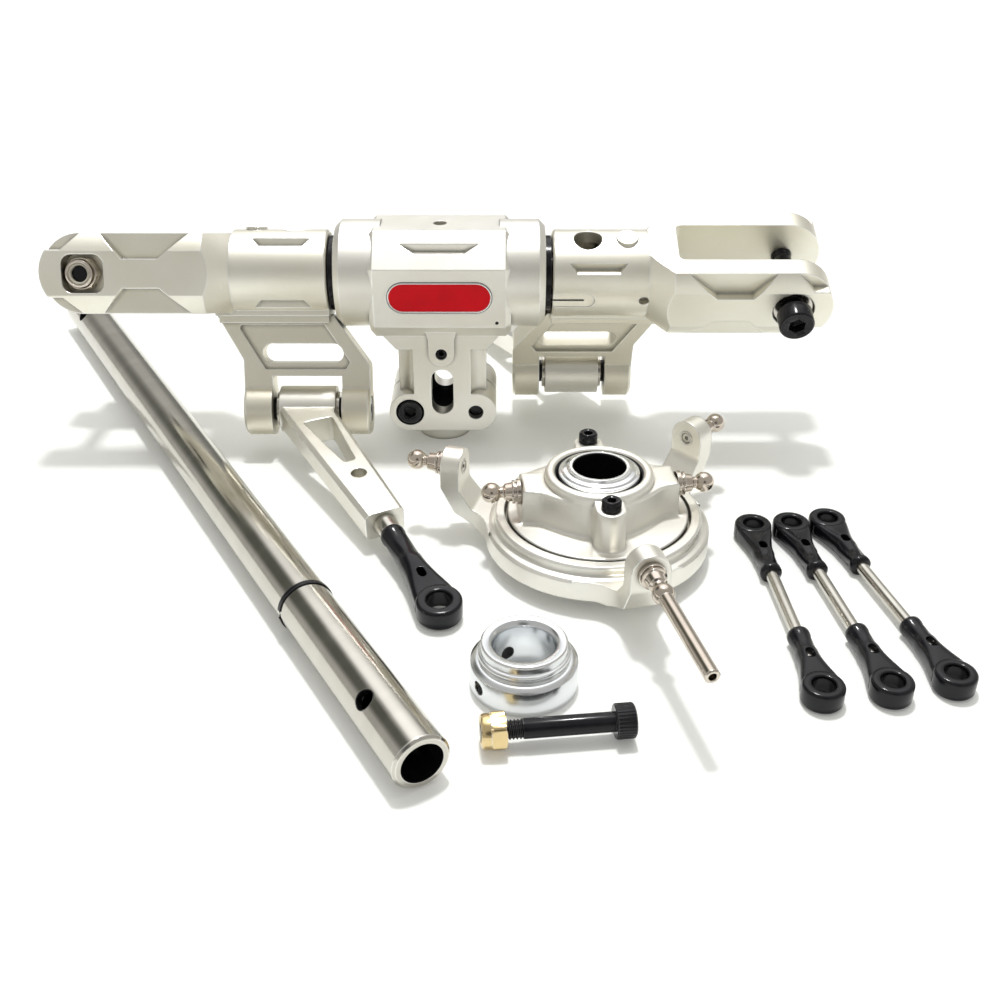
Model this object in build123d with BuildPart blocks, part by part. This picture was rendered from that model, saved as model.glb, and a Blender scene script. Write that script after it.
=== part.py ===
from build123d import *

import math
import os

# Rotor head set of a large model helicopter, laid out on a table.
# Millimetres. The origin is the mast axis at the foot of the head, +Z is up,
# +X runs along the spindle and +Y points to the back of the head.

os.makedirs("parts", exist_ok=True)

# Clearances
running_gap = 0.05
screw_gap = 0.06
face_gap = 0.30
seat_gap = 0.05

# Head block
spindle_height = 46.3
body_length = 37.0
body_depth = 28.0
body_top = 13.6
body_top_flat = 13.0
body_side_top = 5.9
body_side_bottom = -9.7
body_bevel = 1.4
flange_diameter = 28.0
flange_reach = 27.4
flange_chamfer = 1.6
neck_width = 23.6
neck_depth = 22.0
flare_drop = 10.9
flare_rise = 6.6
lug_spacing = 18.0
lug_radius = 5.6
lug_height = 10.3
relief_radius = 4.4
relief_bottom = 13.4
sleeve_diameter = 14.6
mast_diameter = 12.0
bore_top = 31.0
bore_relief = 0.45
bore_relief_margin = 0.6
window_width = 5.9
window_bottom = 9.9
window_top = 23.1
clamp_slit = 0.8
clamp_slit_top = 17.5
boss_width = 6.8
boss_face = 12.3
boss_height = 28.1
boss_flare = 1.3
top_hole_diameter = 3.4
top_hole_depth = 6.0
pocket_floor = 9.0
pocket_height = 1.8
pocket_top_width = 20.5
pocket_bottom_width = 13.0
pocket_back = 9.0
dot_hole_diameter = 0.9
dot_hole_side = 14.8

# Label plate on the front of the head
plate_length = 27.0
plate_width = 8.2
plate_drop = 1.6
plate_thickness = 0.6
plate_recess = 0.35

# Cap screws and set screws
clamp_screw_diameter = 4.0
clamp_head_diameter = 7.0
clamp_head_height = 4.0
clamp_head_seat = 7.4
clamp_screw_length = 16.0
set_screw_diameter = 3.0
set_screw_length = 4.0

# Spindle, dampers and what turns on them
spindle_diameter = 8.0
spindle_half_length = 51.6
tunnel_diameter = 18.0
damper_start = 17.4
damper_length = 9.0
washer_diameter = 19.6
washer_thickness = 1.5
bearing_diameter = 16.0
bearing_width = 5.0
bearing_start = 30.4
second_bearing_start = 41.2
thrust_width = 5.0
spindle_bolt_head = 10.0
spindle_bolt_height = 4.0

# Blade grip. The local X runs outward and the pitch arm hangs along -Z.
grip_angle = 19.5
grip_start = 29.3
barrel_diameter = 22.6
barrel_end = 54.2
fork_start = 60.2
fork_diameter = 32.0
fork_width = 30.0
fork_height = 20.4
bolt_distance = 91.4
blade_slot = 14.0
blade_slot_start = 61.7
blade_slot_fillet = 1.5
bore_end = 58.0
tool_hole_diameter = 9.0
scallop_outer_start = 63.5
scallop_inner_start = 71.3
scallop_inner_end = 80.6
scallop_outer_end = 86.3
scallop_floor = 3.7
scallop_depth = 2.6
tip_cut_run = 4.5
tip_cut_floor = 6.0
barrel_pocket_start = 33.2
barrel_pocket_end = 49.0
barrel_pocket_taper = 2.3
barrel_pocket_wall = 6.9
barrel_pocket_floor = 6.9
access_hole_diameter = 7.4
access_hole_distance = 38.4
plug_distance = 48.6
plug_diameter = 5.6
plug_height = 0.6
slit_pad_length = 11.0
slit_pad_width = 4.4
slit_pad_depth = 0.35
slit_length = 8.2
slit_width = 0.5
slit_depth = 1.2
pin_hole_distance = 53.0
pin_hole_diameter = 2.6
pin_hole_depth = 2.2
nut_pocket_length = 10.7
nut_pocket_height = 9.7
nut_pocket_offset = 0.9
nut_pocket_depth = 4.6
nut_pocket_fillet = 2.6

# Blade bolt, washer and nut
blade_bolt_diameter = 5.0
blade_head_diameter = 9.0
blade_head_height = 5.0
blade_head_stand = 2.0
blade_washer_diameter = 10.0
blade_washer_thickness = 1.0
washer_seat_depth = 1.8
blade_nut_flats = 8.0
blade_nut_height = 3.2
blade_nut_collar = 7.2
blade_nut_collar_height = 1.7

# Pitch arm
arm_seat = 11.1
arm_foot_start = 28.5
arm_foot_end = 59.3
arm_foot_width = 11.8
arm_foot_height = 1.8
arm_thickness = 7.5
arm_shoulder = 22.8
arm_length = 36.3
clevis_start = 19.2
clevis_end = 52.8
clevis_gap = 18.6
clevis_gap_top = 27.1
ear_radius = 7.0
arm_window_length = 21.6
arm_window_offset = 1.0
arm_window_height = 5.1
arm_window_drop = 21.1
arm_recess_depth = 0.9
arm_recess_rim = 0.6
arm_screw_distance = 50.6
arm_screw_diameter = 3.0
arm_screw_head_diameter = 5.4
arm_screw_length = 8.4

# Lever, its pin and its bearings
pin_diameter = 4.0
pin_head_diameter = 7.0
pin_head_height = 1.5
lever_width = 15.0
lever_barrel_radius = 6.2
lever_thickness = 7.4
lever_reach = 88.2
lever_slant = 25.7
lever_body_reach = 55.5
lever_end_width = 9.8
lever_root_gap = 0.6
lever_chamfer = 1.0
lever_end_chamfer = 2.0
lever_slot_start = 11.1
lever_slot_end = 32.7
lever_slot_root = (5.7, -2.4)
lever_slot_tip = (1.7, -1.4)
lever_hole_reach = 38.4
lever_hole_diameter = 3.9
link_bearing_diameter = 8.0
link_bearing_width = 3.0
link_flange_diameter = 9.2
link_flange_width = 0.8

# Stud between lever and ball link
stud_collar_diameter = 5.6
stud_collar_length = 4.3
stud_diameter = 3.0
stud_in_lever = 10.0
stud_in_link = 9.0

# Ball links. The moulded ends of the rods have the same form but are smaller.
eye_radius = 5.2
eye_bore = 4.9
eye_thickness = 5.0
eye_dish = 0.6
link_shank_diameter = 6.0
link_shank_length = 13.0
mould_hole_distance = 9.9
mould_hole_width = 1.9
rod_eye_radius = 4.4
rod_eye_thickness = 4.6
rod_shank_diameter = 5.0
rod_shank_length = 8.5
rod_end_length = 19.0
rod_diameter = 2.9
rod_in_end = 9.0

# Main mast
mast_length = 250.0
mast_bore = 8.6
mast_end_x = 1.5
mast_end_y = -143.0
mast_turn = -60.0
mast_chamfer = 0.6
mast_hole_diameter = 4.1
mast_hole_distance = 14.0
mast_hole_roll = 15.0
ring_distance = 55.0
ring_diameter = 12.5
ring_width = 1.2
ring_groove = 11.2

# Mast collar
collar_x = 20.5
collar_y = -112.6
collar_flange_diameter = 22.2
collar_top_diameter = 19.2
collar_groove_diameter = 18.0
collar_height = 10.8
collar_flange_height = 7.4
collar_screw_height = 3.4
collar_screw_angles = (213.0, 123.0)

# Mast bolt and its brass nut, lying on the table
mast_bolt_x = 11.8
mast_bolt_y = -132.1
mast_bolt_turn = 6.5
mast_bolt_diameter = 4.0
mast_bolt_length = 26.0
mast_bolt_head_diameter = 7.0
mast_bolt_head_height = 4.0
mast_nut_flats = 7.0
mast_nut_height = 5.0
mast_nut_flange_diameter = 8.0
mast_nut_flange_height = 1.4
mast_hole_in_head = 20.0

# Swashplate
swash_x = 38.6
swash_y = -63.2
star_turn = 5.8
ring_outer_diameter = 52.8
ring_inner_diameter = 44.0
ring_bottom = 2.8
ring_flange_top = 8.4
ring_lip_top = 11.2
ring_lip_diameter = 48.8
race_inner_diameter = 37.0
race_bottom = 4.0
race_top = 9.2
disc_diameter = 42.6
disc_bottom = 9.7
disc_top = 11.4
star_hub_diameter = 25.8
star_body_top = 19.8
star_rim_top = 22.0
star_lug_top = 21.0
star_lug_radius = 3.5
star_screw_distance = 15.8
star_arm_width = 8.6
star_arm_reach = 18.3
star_ball_reach = 25.1
star_ball_height = 17.3
star_fillet = 3.4
star_rim_fillet = 1.5
ball_radius = 10.0
ball_half_height = 5.0
ball_height = 18.2
socket_gap = 0.25
socket_throat = 18.9
swash_foot_diameter = 36.8
star_screw_head = 4.5
star_screw_head_height = 2.6
star_screw_diameter = 2.5
star_screw_length = 7.0
horn_angles = (44.4, 164.2, 283.0)
horn_reach = 44.7
horn_ball_height = 18.0
horn_face = 37.5
horn_thickness = 4.6
horn_width = 8.8
horn_top = 22.4
horn_fillet = 8.0

# Neck balls and the anti-rotation pin
link_ball_diameter = 4.8
neck_diameter = 2.6
neck_collar_diameter = 6.0
neck_collar_thickness = 1.2
neck_collar_step = 0.5
neck_stud_length = 3.6
neck_stud_diameter = 2.6
pin_reach = 71.6
antirotation_diameter = 3.2
antirotation_bore = 1.6
antirotation_bore_depth = 4.0

# Linkage rods, with the places of their far eyes and how each lies on the table
rod_eye_distance = 60.3
rod_far_x = (77.0, 86.4, 95.6)
rod_far_y = (-58.6, -57.8, -55.9)
rod_turns = (3.1, 7.6, 11.8)


# Heights and places that follow from the sizes above
flare_top = spindle_height - flare_drop
neck_top = flare_top - flare_rise
plate_height = spindle_height - plate_drop
head_axis = Location((0, 0, spindle_height))
grip_place_right = Location((0, 0, spindle_height), (grip_angle, 0, 0))
half_turn = Location((0, 0, 0), (0, 0, 180))
grip_places = {"right": grip_place_right, "left": half_turn * grip_place_right}

pin_x = (clevis_start + clevis_end) / 2
pin_drop = arm_length * math.cos(math.radians(grip_angle))
pin_back = arm_length * math.sin(math.radians(grip_angle))
pin_height = spindle_height - pin_drop
lever_forward = lever_reach * math.cos(math.radians(lever_slant))
lever_inward = lever_reach * math.sin(math.radians(lever_slant))
eye_height = eye_thickness / 2 + 0.75
lever_pitch = math.degrees(math.asin((pin_height - eye_height) / lever_forward))
lever_place_right = Location((pin_x, pin_back, pin_height), (-lever_pitch, 0, 0))
lever_places = {"right": lever_place_right, "left": half_turn * lever_place_right}
lever_axis_plane = Plane(
    origin=(0, 0, 0),
    x_dir=(math.cos(math.radians(lever_slant)), math.sin(math.radians(lever_slant)), 0),
    z_dir=(-math.sin(math.radians(lever_slant)), math.cos(math.radians(lever_slant)), 0),
)
lever_plan = Plane(origin=(0, 0, 0), x_dir=lever_axis_plane.x_dir, z_dir=(0, 0, 1))

swash_place = Location((swash_x, swash_y, 0))
star_place = Location((swash_x, swash_y, 0), (0, 0, star_turn))


def write(piece, name, place=Location()):
    """Put a finished piece in its place, label it and write its STEP file."""
    placed = piece.moved(place)
    placed.label = name
    export_step(placed, f"parts/{name}.step")


def write_pair(piece, name, places):
    """Write the right and the left copy of a piece that the head has twice."""
    for side, place in places.items():
        write(piece, f"{name}_{side}", place)


# Head block
def make_head_block():
    half_body = body_length / 2
    half_depth = body_depth / 2
    half_neck = neck_width / 2
    with BuildPart() as head:
        # Body: an eight-sided bar along the spindle with a bevel down to the neck
        with BuildSketch(Plane.YZ.offset(-half_body)):
            with Locations((0, spindle_height)):
                with BuildLine():
                    top = body_top_flat / 2
                    front = half_depth
                    low = -flange_diameter / 2 + 0.6
                    Polyline(
                        (top, spindle_height + body_top),
                        (front, spindle_height + body_side_top),
                        (front, spindle_height + body_side_bottom),
                        (neck_depth / 2, spindle_height + low),
                        (-neck_depth / 2, spindle_height + low),
                        (-front, spindle_height + body_side_bottom),
                        (-front, spindle_height + body_side_top),
                        (-top, spindle_height + body_top),
                        close=True,
                    )
                make_face()
        extrude(amount=body_length)
        ends = head.faces().sort_by(Axis.X)
        chamfer(ends[0].edges() + ends[-1].edges(), body_bevel)
        # Round flanges that the dampers sit in
        for side in (-1, 1):
            with BuildSketch(Plane.YZ.offset(side * (half_body - 3))):
                with Locations((0, spindle_height)):
                    Circle(flange_diameter / 2)
            extrude(amount=side * (flange_reach - half_body + 3))
        rims = head.faces().sort_by(Axis.X)
        chamfer(rims[0].edges() + rims[-1].edges(), flange_chamfer)
        # Neck, which flares out into the body
        with BuildSketch(Plane.XZ.offset(-neck_depth / 2)) as front_view:
            with BuildLine():
                Polyline(
                    (-half_neck, lug_height),
                    (half_neck, lug_height),
                    (half_neck, neck_top),
                    (half_body - 1, flare_top),
                    (half_body - 1, flare_top + 2),
                    (-half_body + 1, flare_top + 2),
                    (-half_body + 1, flare_top),
                    (-half_neck, neck_top),
                    close=True,
                )
            make_face()
        extrude(amount=neck_depth)
        # Reliefs at the four corners of the neck, beside the clamp screws
        with BuildSketch(Plane.XY.offset(relief_bottom)):
            with GridLocations(neck_width + 0.6, neck_depth + 0.6, 2, 2):
                Circle(relief_radius)
        extrude(amount=neck_top + 0.2 - relief_bottom, mode=Mode.SUBTRACT)
        # Clamp lugs around the two clamp screws
        with BuildSketch(Plane.XZ.offset(-neck_depth / 2)):
            with Locations((0, lug_height)):
                SlotCenterToCenter(lug_spacing, 2 * lug_radius)
        extrude(amount=neck_depth)
        # Sleeve below the clamp, which the head stands on
        with BuildSketch(Plane.XY):
            Circle(sleeve_diameter / 2)
        extrude(amount=lug_height)
        # Tongues that carry the set screws, front and back
        with BuildSketch(Plane.XZ.offset(-boss_face)):
            with BuildLine():
                half = boss_width / 2
                Polyline(
                    (-half, boss_height),
                    (-half, flare_top - flare_rise / 2),
                    (-half - boss_flare, flare_top + 1),
                    (half + boss_flare, flare_top + 1),
                    (half, flare_top - flare_rise / 2),
                    (half, boss_height),
                )
                RadiusArc((half, boss_height), (-half, boss_height), half)
            make_face()
        extrude(amount=2 * boss_face)
        # Mast bore and spindle tunnel
        with BuildSketch(Plane.XY):
            Circle(mast_diameter / 2 + running_gap)
        extrude(amount=bore_top, mode=Mode.SUBTRACT)
        with BuildSketch(Plane.YZ.offset(-flange_reach)):
            with Locations((0, spindle_height)):
                Circle(spindle_diameter / 2 + 1)
        extrude(amount=2 * flange_reach, mode=Mode.SUBTRACT)
        for side in (-1, 1):
            with BuildSketch(Plane.YZ.offset(side * damper_start)):
                with Locations((0, spindle_height)):
                    Circle(tunnel_diameter / 2)
            extrude(amount=side * (flange_reach - damper_start), mode=Mode.SUBTRACT)
        # Windows in front of and behind the mast
        with BuildSketch(Plane.XZ.offset(-body_depth)):
            with Locations((0, (window_bottom + window_top) / 2)):
                SlotOverall(window_top - window_bottom, window_width, rotation=90)
        extrude(amount=2 * body_depth, mode=Mode.SUBTRACT)
        # Shallow relief behind the windows, so the mast seats on a land above and one below
        with BuildSketch(Plane.XY.offset(window_bottom - bore_relief_margin)):
            Circle(mast_diameter / 2 + running_gap + bore_relief)
        extrude(amount=window_top - window_bottom + 2 * bore_relief_margin, mode=Mode.SUBTRACT)
        # Clamp slits on both sides, and the cross hole for the mast bolt
        with BuildSketch(Plane.XY):
            with Locations((-lug_spacing, 0), (lug_spacing, 0)):
                Rectangle(2 * lug_spacing - mast_diameter + 2, clamp_slit)
        extrude(amount=clamp_slit_top, mode=Mode.SUBTRACT)
        with BuildSketch(Plane.YZ.offset(-body_length)):
            with Locations((0, mast_hole_in_head)):
                Circle(mast_bolt_diameter / 2 + running_gap)
        extrude(amount=2 * body_length, mode=Mode.SUBTRACT)
        # Clamp screw holes, each with a counterbore on the face its screw enters
        for side in (-1, 1):
            with BuildSketch(Plane.XZ.offset(-body_depth)):
                with Locations((side * lug_spacing / 2, lug_height)):
                    Circle(clamp_screw_diameter / 2 + screw_gap)
            extrude(amount=2 * body_depth, mode=Mode.SUBTRACT)
            with BuildSketch(Plane.XZ.offset(-side * clamp_head_seat)):
                with Locations((side * lug_spacing / 2, lug_height)):
                    Circle(clamp_head_diameter / 2 + 0.35)
            extrude(amount=-side * body_depth, mode=Mode.SUBTRACT)
        # Set screw holes, front and back
        with BuildSketch(Plane.XZ.offset(-body_depth)):
            with Locations((0, boss_height)):
                Circle(set_screw_diameter / 2 + screw_gap)
        extrude(amount=2 * body_depth, mode=Mode.SUBTRACT)
        # Threaded hole on top
        with BuildSketch(Plane.XY.offset(spindle_height + body_top)):
            Circle(top_hole_diameter / 2)
        extrude(amount=-top_hole_depth, mode=Mode.SUBTRACT)
        # Milled pockets on the upper bevels
        pocket_bottom = spindle_height + pocket_floor
        for side in (-1, 1):
            with BuildSketch(Plane.XZ.offset(side * pocket_back)):
                with BuildLine():
                    wide = pocket_top_width / 2
                    narrow = pocket_bottom_width / 2
                    Polyline(
                        (-wide, pocket_bottom + pocket_height + 0.2),
                        (wide, pocket_bottom + pocket_height + 0.2),
                        (narrow, pocket_bottom),
                        (-narrow, pocket_bottom),
                        close=True,
                    )
                make_face()
            extrude(amount=side * body_depth, mode=Mode.SUBTRACT)
        # Recess for the label plate
        with BuildSketch(Plane.XZ.offset(half_depth - plate_recess)):
            with Locations((0, plate_height)):
                SlotOverall(plate_length + 0.3, plate_width + 0.3)
        extrude(amount=body_depth, mode=Mode.SUBTRACT)
        # Small dot beside it
        with BuildSketch(Plane.XZ.offset(half_depth - 1)):
            with Locations((dot_hole_side, spindle_height + body_side_bottom + 1.2)):
                Circle(dot_hole_diameter / 2)
        extrude(amount=body_depth, mode=Mode.SUBTRACT)
    write(head.part, "head_block")


def make_label_plate():
    with BuildPart() as plate:
        with BuildSketch(Plane.XZ.offset(body_depth / 2 - plate_recess)):
            with Locations((0, plate_height)):
                SlotOverall(plate_length, plate_width)
        extrude(amount=plate_thickness)
        chamfer(plate.faces().sort_by(Axis.Y)[0].edges(), 0.2)
    write(plate.part, "label_plate")


def make_cap_screw(diameter, length, head_diameter, head_height, key):
    """A socket cap screw along +Z, with the underside of its head at the origin."""
    with BuildPart() as screw:
        with BuildSketch(Plane.XY.offset(-head_height)):
            Circle(head_diameter / 2)
        extrude(amount=head_height)
        chamfer(screw.faces().sort_by(Axis.Z)[0].edges(), 0.3)
        with BuildSketch(Plane.XY):
            Circle(diameter / 2)
        extrude(amount=length)
        with BuildSketch(Plane.XY.offset(-head_height)):
            RegularPolygon(key / 2, 6, major_radius=False)
        extrude(amount=head_height * 0.6, mode=Mode.SUBTRACT)
    return screw.part


def make_set_screw(diameter, length, key):
    """A grub screw along +Z with its key hole at the origin."""
    with BuildPart() as screw:
        with BuildSketch(Plane.XY):
            Circle(diameter / 2)
            RegularPolygon(key / 2, 6, major_radius=False, mode=Mode.SUBTRACT)
        extrude(amount=length / 2)
        with BuildSketch(Plane.XY.offset(length / 2)):
            Circle(diameter / 2)
        extrude(amount=length / 2)
    return screw.part


def make_head_screws():
    clamp_screw = make_cap_screw(
        clamp_screw_diameter, clamp_screw_length, clamp_head_diameter, clamp_head_height, 3.0
    )
    front = Location((-lug_spacing / 2, -clamp_head_seat, lug_height), (-90, 0, 0))
    write(Compound([clamp_screw.moved(front), clamp_screw.moved(half_turn * front)]), "clamp_screws")
    set_screw = make_set_screw(set_screw_diameter, set_screw_length, 1.5)
    front = Location((0, -boss_face + 0.7, boss_height), (-90, 0, 0))
    write(Compound([set_screw.moved(front), set_screw.moved(half_turn * front)]), "mast_set_screws")


# Spindle and the pieces threaded on it
def make_spindle():
    with BuildPart() as spindle:
        with BuildSketch(Plane.YZ.offset(-spindle_half_length)):
            Circle(spindle_diameter / 2)
        extrude(amount=2 * spindle_half_length)
        chamfer(spindle.edges().filter_by(GeomType.CIRCLE), 0.4)
        for side in (-1, 1):
            with BuildSketch(Plane.YZ.offset(side * spindle_half_length)):
                Circle(clamp_screw_diameter / 2 + screw_gap)
            extrude(amount=-side * clamp_screw_length, mode=Mode.SUBTRACT)
    write(spindle.part, "spindle", head_axis)


def make_ring(start, length, inner_diameter, outer_diameter, edge=0.0):
    """A plain ring about the local X axis."""
    with BuildPart() as ring:
        with BuildSketch(Plane.YZ.offset(start)):
            Circle(outer_diameter / 2)
            Circle(inner_diameter / 2, mode=Mode.SUBTRACT)
        extrude(amount=length)
        if edge:
            chamfer(ring.edges().filter_by(GeomType.CIRCLE), edge)
    return ring.part


def make_spindle_stack():
    both_ends = (head_axis, half_turn * head_axis)
    damper = make_ring(damper_start + seat_gap, damper_length, spindle_diameter, tunnel_diameter, 0.6)
    write(Compound([damper.moved(end) for end in both_ends]), "dampers")
    washer_start = flange_reach + seat_gap
    with BuildPart() as washer:
        with BuildSketch(Plane.YZ.offset(washer_start)):
            Circle(washer_diameter / 2)
            Circle(spindle_diameter / 2, mode=Mode.SUBTRACT)
        extrude(amount=washer_thickness)
        with BuildSketch(Plane.YZ.offset(washer_start)):
            Circle(spindle_diameter / 2 + 1.6)
            Circle(spindle_diameter / 2, mode=Mode.SUBTRACT)
        extrude(amount=bearing_start - seat_gap - washer_start)
    write(Compound([washer.part.moved(end) for end in both_ends]), "spindle_washers")
    bolt = make_cap_screw(
        clamp_screw_diameter, clamp_screw_length - 1, spindle_bolt_head, spindle_bolt_height, 5.0
    )
    end = Location((spindle_half_length, 0, 0), (0, -90, 0))
    bolts = Compound([bolt.moved(place * end) for place in both_ends])
    write(bolts, "spindle_bolts")


# Blade grip
def make_grip():
    half_height = fork_height / 2
    half_width = fork_width / 2
    barrel = barrel_diameter / 2
    with BuildPart() as grip:
        # Turned blank: barrel, flare and fork
        with BuildSketch(Plane.XZ):
            with BuildLine():
                Polyline(
                    (grip_start, 0),
                    (grip_start, barrel),
                    (barrel_end, barrel),
                    (fork_start, fork_diameter / 2),
                    (bolt_distance + half_height, fork_diameter / 2),
                    (bolt_distance + half_height, 0),
                    close=True,
                )
            make_face()
        revolve(axis=Axis.X)
        chamfer(grip.faces().sort_by(Axis.X)[0].edges(), 0.5)
        # Rounded tip
        with BuildSketch(Plane.XZ.offset(-fork_diameter)):
            with Locations((bolt_distance / 2, 0)):
                Rectangle(bolt_distance, 2 * fork_diameter)
            with Locations((bolt_distance, 0)):
                Circle(half_height)
        extrude(amount=2 * fork_diameter, mode=Mode.INTERSECT)
        # Milled flats above, below, in front of and behind the fork
        fork_length = bolt_distance + half_height - barrel_end
        with BuildSketch(Plane.YZ.offset(barrel_end)):
            Circle(fork_diameter)
            Rectangle(fork_width, fork_height, mode=Mode.SUBTRACT)
        extrude(amount=fork_length, mode=Mode.SUBTRACT)
        # Flat pad under the barrel that the pitch arm bolts to
        with BuildSketch(Plane.XY.offset(-arm_seat)):
            with Locations(((grip_start + arm_foot_end) / 2, 0)):
                Rectangle(arm_foot_end - grip_start, fork_diameter)
        extrude(amount=-arm_seat, mode=Mode.SUBTRACT)
        with BuildSketch(Plane.XY.offset(-arm_seat)):
            with Locations(((grip_start + arm_foot_end) / 2, 0)):
                Rectangle(arm_foot_end - grip_start, arm_foot_width)
        extrude(amount=arm_seat / 2)
        # Raised plug on top
        with BuildSketch(Plane.XY.offset(barrel / 2 + bearing_diameter / 4)):
            with Locations((plug_distance, 0)):
                Circle(plug_diameter / 2)
        extrude(amount=barrel / 2 - bearing_diameter / 4 + plug_height)
        # Bearing bore and tool hole for the spindle bolt
        with BuildSketch(Plane.YZ.offset(grip_start)):
            Circle(bearing_diameter / 2)
        extrude(amount=bore_end - grip_start, mode=Mode.SUBTRACT)
        with BuildSketch(Plane.YZ.offset(bore_end)):
            Circle(tool_hole_diameter / 2)
        extrude(amount=blade_slot_start - bore_end, mode=Mode.SUBTRACT)
        # Blade slot
        with BuildSketch(Plane.XY.offset(-fork_diameter)) as slot:
            slot_length = bolt_distance + fork_height - blade_slot_start
            with Locations((blade_slot_start + slot_length / 2, 0)):
                Rectangle(slot_length, blade_slot)
            fillet(slot.vertices().group_by(Axis.X)[0], blade_slot_fillet)
        extrude(amount=2 * fork_diameter, mode=Mode.SUBTRACT)
        # Scallops along the fork and cuts at its tip
        for face in (-1, 1):
            with BuildSketch(Plane.XZ.offset(face * (half_width - scallop_depth))):
                for edge in (-1, 1):
                    with BuildLine():
                        Polyline(
                            (scallop_outer_start, edge * half_height),
                            (scallop_inner_start, edge * scallop_floor),
                            (scallop_inner_end, edge * scallop_floor),
                            (scallop_outer_end, edge * half_height),
                            (scallop_outer_end, edge * fork_height),
                            (scallop_outer_start, edge * fork_height),
                            close=True,
                        )
                    make_face()
                    with BuildLine():
                        Polyline(
                            (bolt_distance, edge * half_height),
                            (bolt_distance + tip_cut_run, edge * tip_cut_floor),
                            (bolt_distance + fork_height, edge * tip_cut_floor),
                            (bolt_distance + fork_height, edge * fork_height),
                            (bolt_distance, edge * fork_height),
                            close=True,
                        )
                    make_face()
            extrude(amount=face * fork_width, mode=Mode.SUBTRACT)
        # Pockets milled into the barrel at its four quarters
        for face in (-1, 1):
            with BuildSketch(Plane.XZ.offset(face * barrel_pocket_wall)):
                for edge in (-1, 1):
                    with BuildLine():
                        Polyline(
                            (barrel_pocket_start, edge * barrel * 0.82),
                            (barrel_pocket_start + barrel_pocket_taper, edge * barrel_pocket_floor),
                            (barrel_pocket_end - barrel_pocket_taper, edge * barrel_pocket_floor),
                            (barrel_pocket_end, edge * barrel * 0.82),
                            close=True,
                        )
                    make_face()
            extrude(amount=face * barrel, mode=Mode.SUBTRACT)
        # Access hole on top, slit pad and pin hole on the bolt head's side
        with BuildSketch(Plane.XY.offset(1)):
            with Locations((access_hole_distance, 0)):
                Circle(access_hole_diameter / 2)
        extrude(amount=barrel + 2, mode=Mode.SUBTRACT)
        with BuildSketch(Plane.XZ.offset(barrel - slit_pad_depth)):
            with Locations((grip_start, 0)):
                SlotOverall(2 * slit_pad_length, slit_pad_width)
        extrude(amount=2, mode=Mode.SUBTRACT)
        with BuildSketch(Plane.XZ.offset(barrel - slit_depth)):
            with Locations((grip_start, 0)):
                SlotOverall(2 * slit_length, slit_width)
        extrude(amount=2, mode=Mode.SUBTRACT)
        with BuildSketch(Plane.XZ.offset(barrel - pin_hole_depth)):
            with Locations((pin_hole_distance, 0)):
                Circle(pin_hole_diameter / 2)
        extrude(amount=pin_hole_depth + 1, mode=Mode.SUBTRACT)
        # Blade bolt hole, washer seat and nut pocket
        with BuildSketch(Plane.XZ.offset(-fork_diameter)):
            with Locations((bolt_distance, 0)):
                Circle(blade_bolt_diameter / 2 + screw_gap)
        extrude(amount=2 * fork_diameter, mode=Mode.SUBTRACT)
        with BuildSketch(Plane.XZ.offset(half_width - washer_seat_depth)):
            with Locations((bolt_distance, 0)):
                Circle(blade_washer_diameter / 2 + 0.4)
        extrude(amount=fork_width, mode=Mode.SUBTRACT)
        with BuildSketch(Plane.XZ.offset(nut_pocket_depth - half_width)):
            with Locations((bolt_distance - nut_pocket_offset, 0)):
                RectangleRounded(nut_pocket_length, nut_pocket_height, nut_pocket_fillet)
        extrude(amount=-fork_width, mode=Mode.SUBTRACT)
        # Holes for the two screws that hold the pitch arm
        with BuildSketch(Plane.XY.offset(-fork_diameter)):
            with Locations((access_hole_distance, 0), (arm_screw_distance, 0)):
                Circle(arm_screw_diameter / 2 + screw_gap)
        extrude(amount=fork_diameter, mode=Mode.SUBTRACT)
        with BuildSketch(Plane.XY.offset(-arm_seat + 1.2)):
            with Locations((access_hole_distance, 0), (arm_screw_distance, 0)):
                Circle(arm_screw_head_diameter / 2 + screw_gap)
        extrude(amount=arm_seat - 1.2, mode=Mode.SUBTRACT)
    write_pair(grip.part, "grip", grip_places)


def make_grip_bearings():
    shaft = spindle_diameter + 2 * running_gap
    housing = bearing_diameter - 2 * seat_gap
    rings = [make_ring(start, bearing_width, shaft, housing, 0.3) for start in (bearing_start, second_bearing_start)]
    write_pair(Compound(rings), "grip_bearings", grip_places)
    thrust_start = second_bearing_start + bearing_width + seat_gap
    with BuildPart() as thrust:
        with BuildSketch(Plane.XZ):
            with BuildLine():
                inner = shaft / 2
                outer = housing / 2
                race = thrust_width / 3
                Polyline(
                    (thrust_start, inner),
                    (thrust_start, outer),
                    (thrust_start + race, outer),
                    (thrust_start + race, outer - 0.8),
                    (thrust_start + 2 * race, outer - 0.8),
                    (thrust_start + 2 * race, outer),
                    (thrust_start + thrust_width, outer),
                    (thrust_start + thrust_width, inner),
                    close=True,
                )
            make_face()
        revolve(axis=Axis.X)
    write_pair(thrust.part, "thrust_bearing", grip_places)


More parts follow.
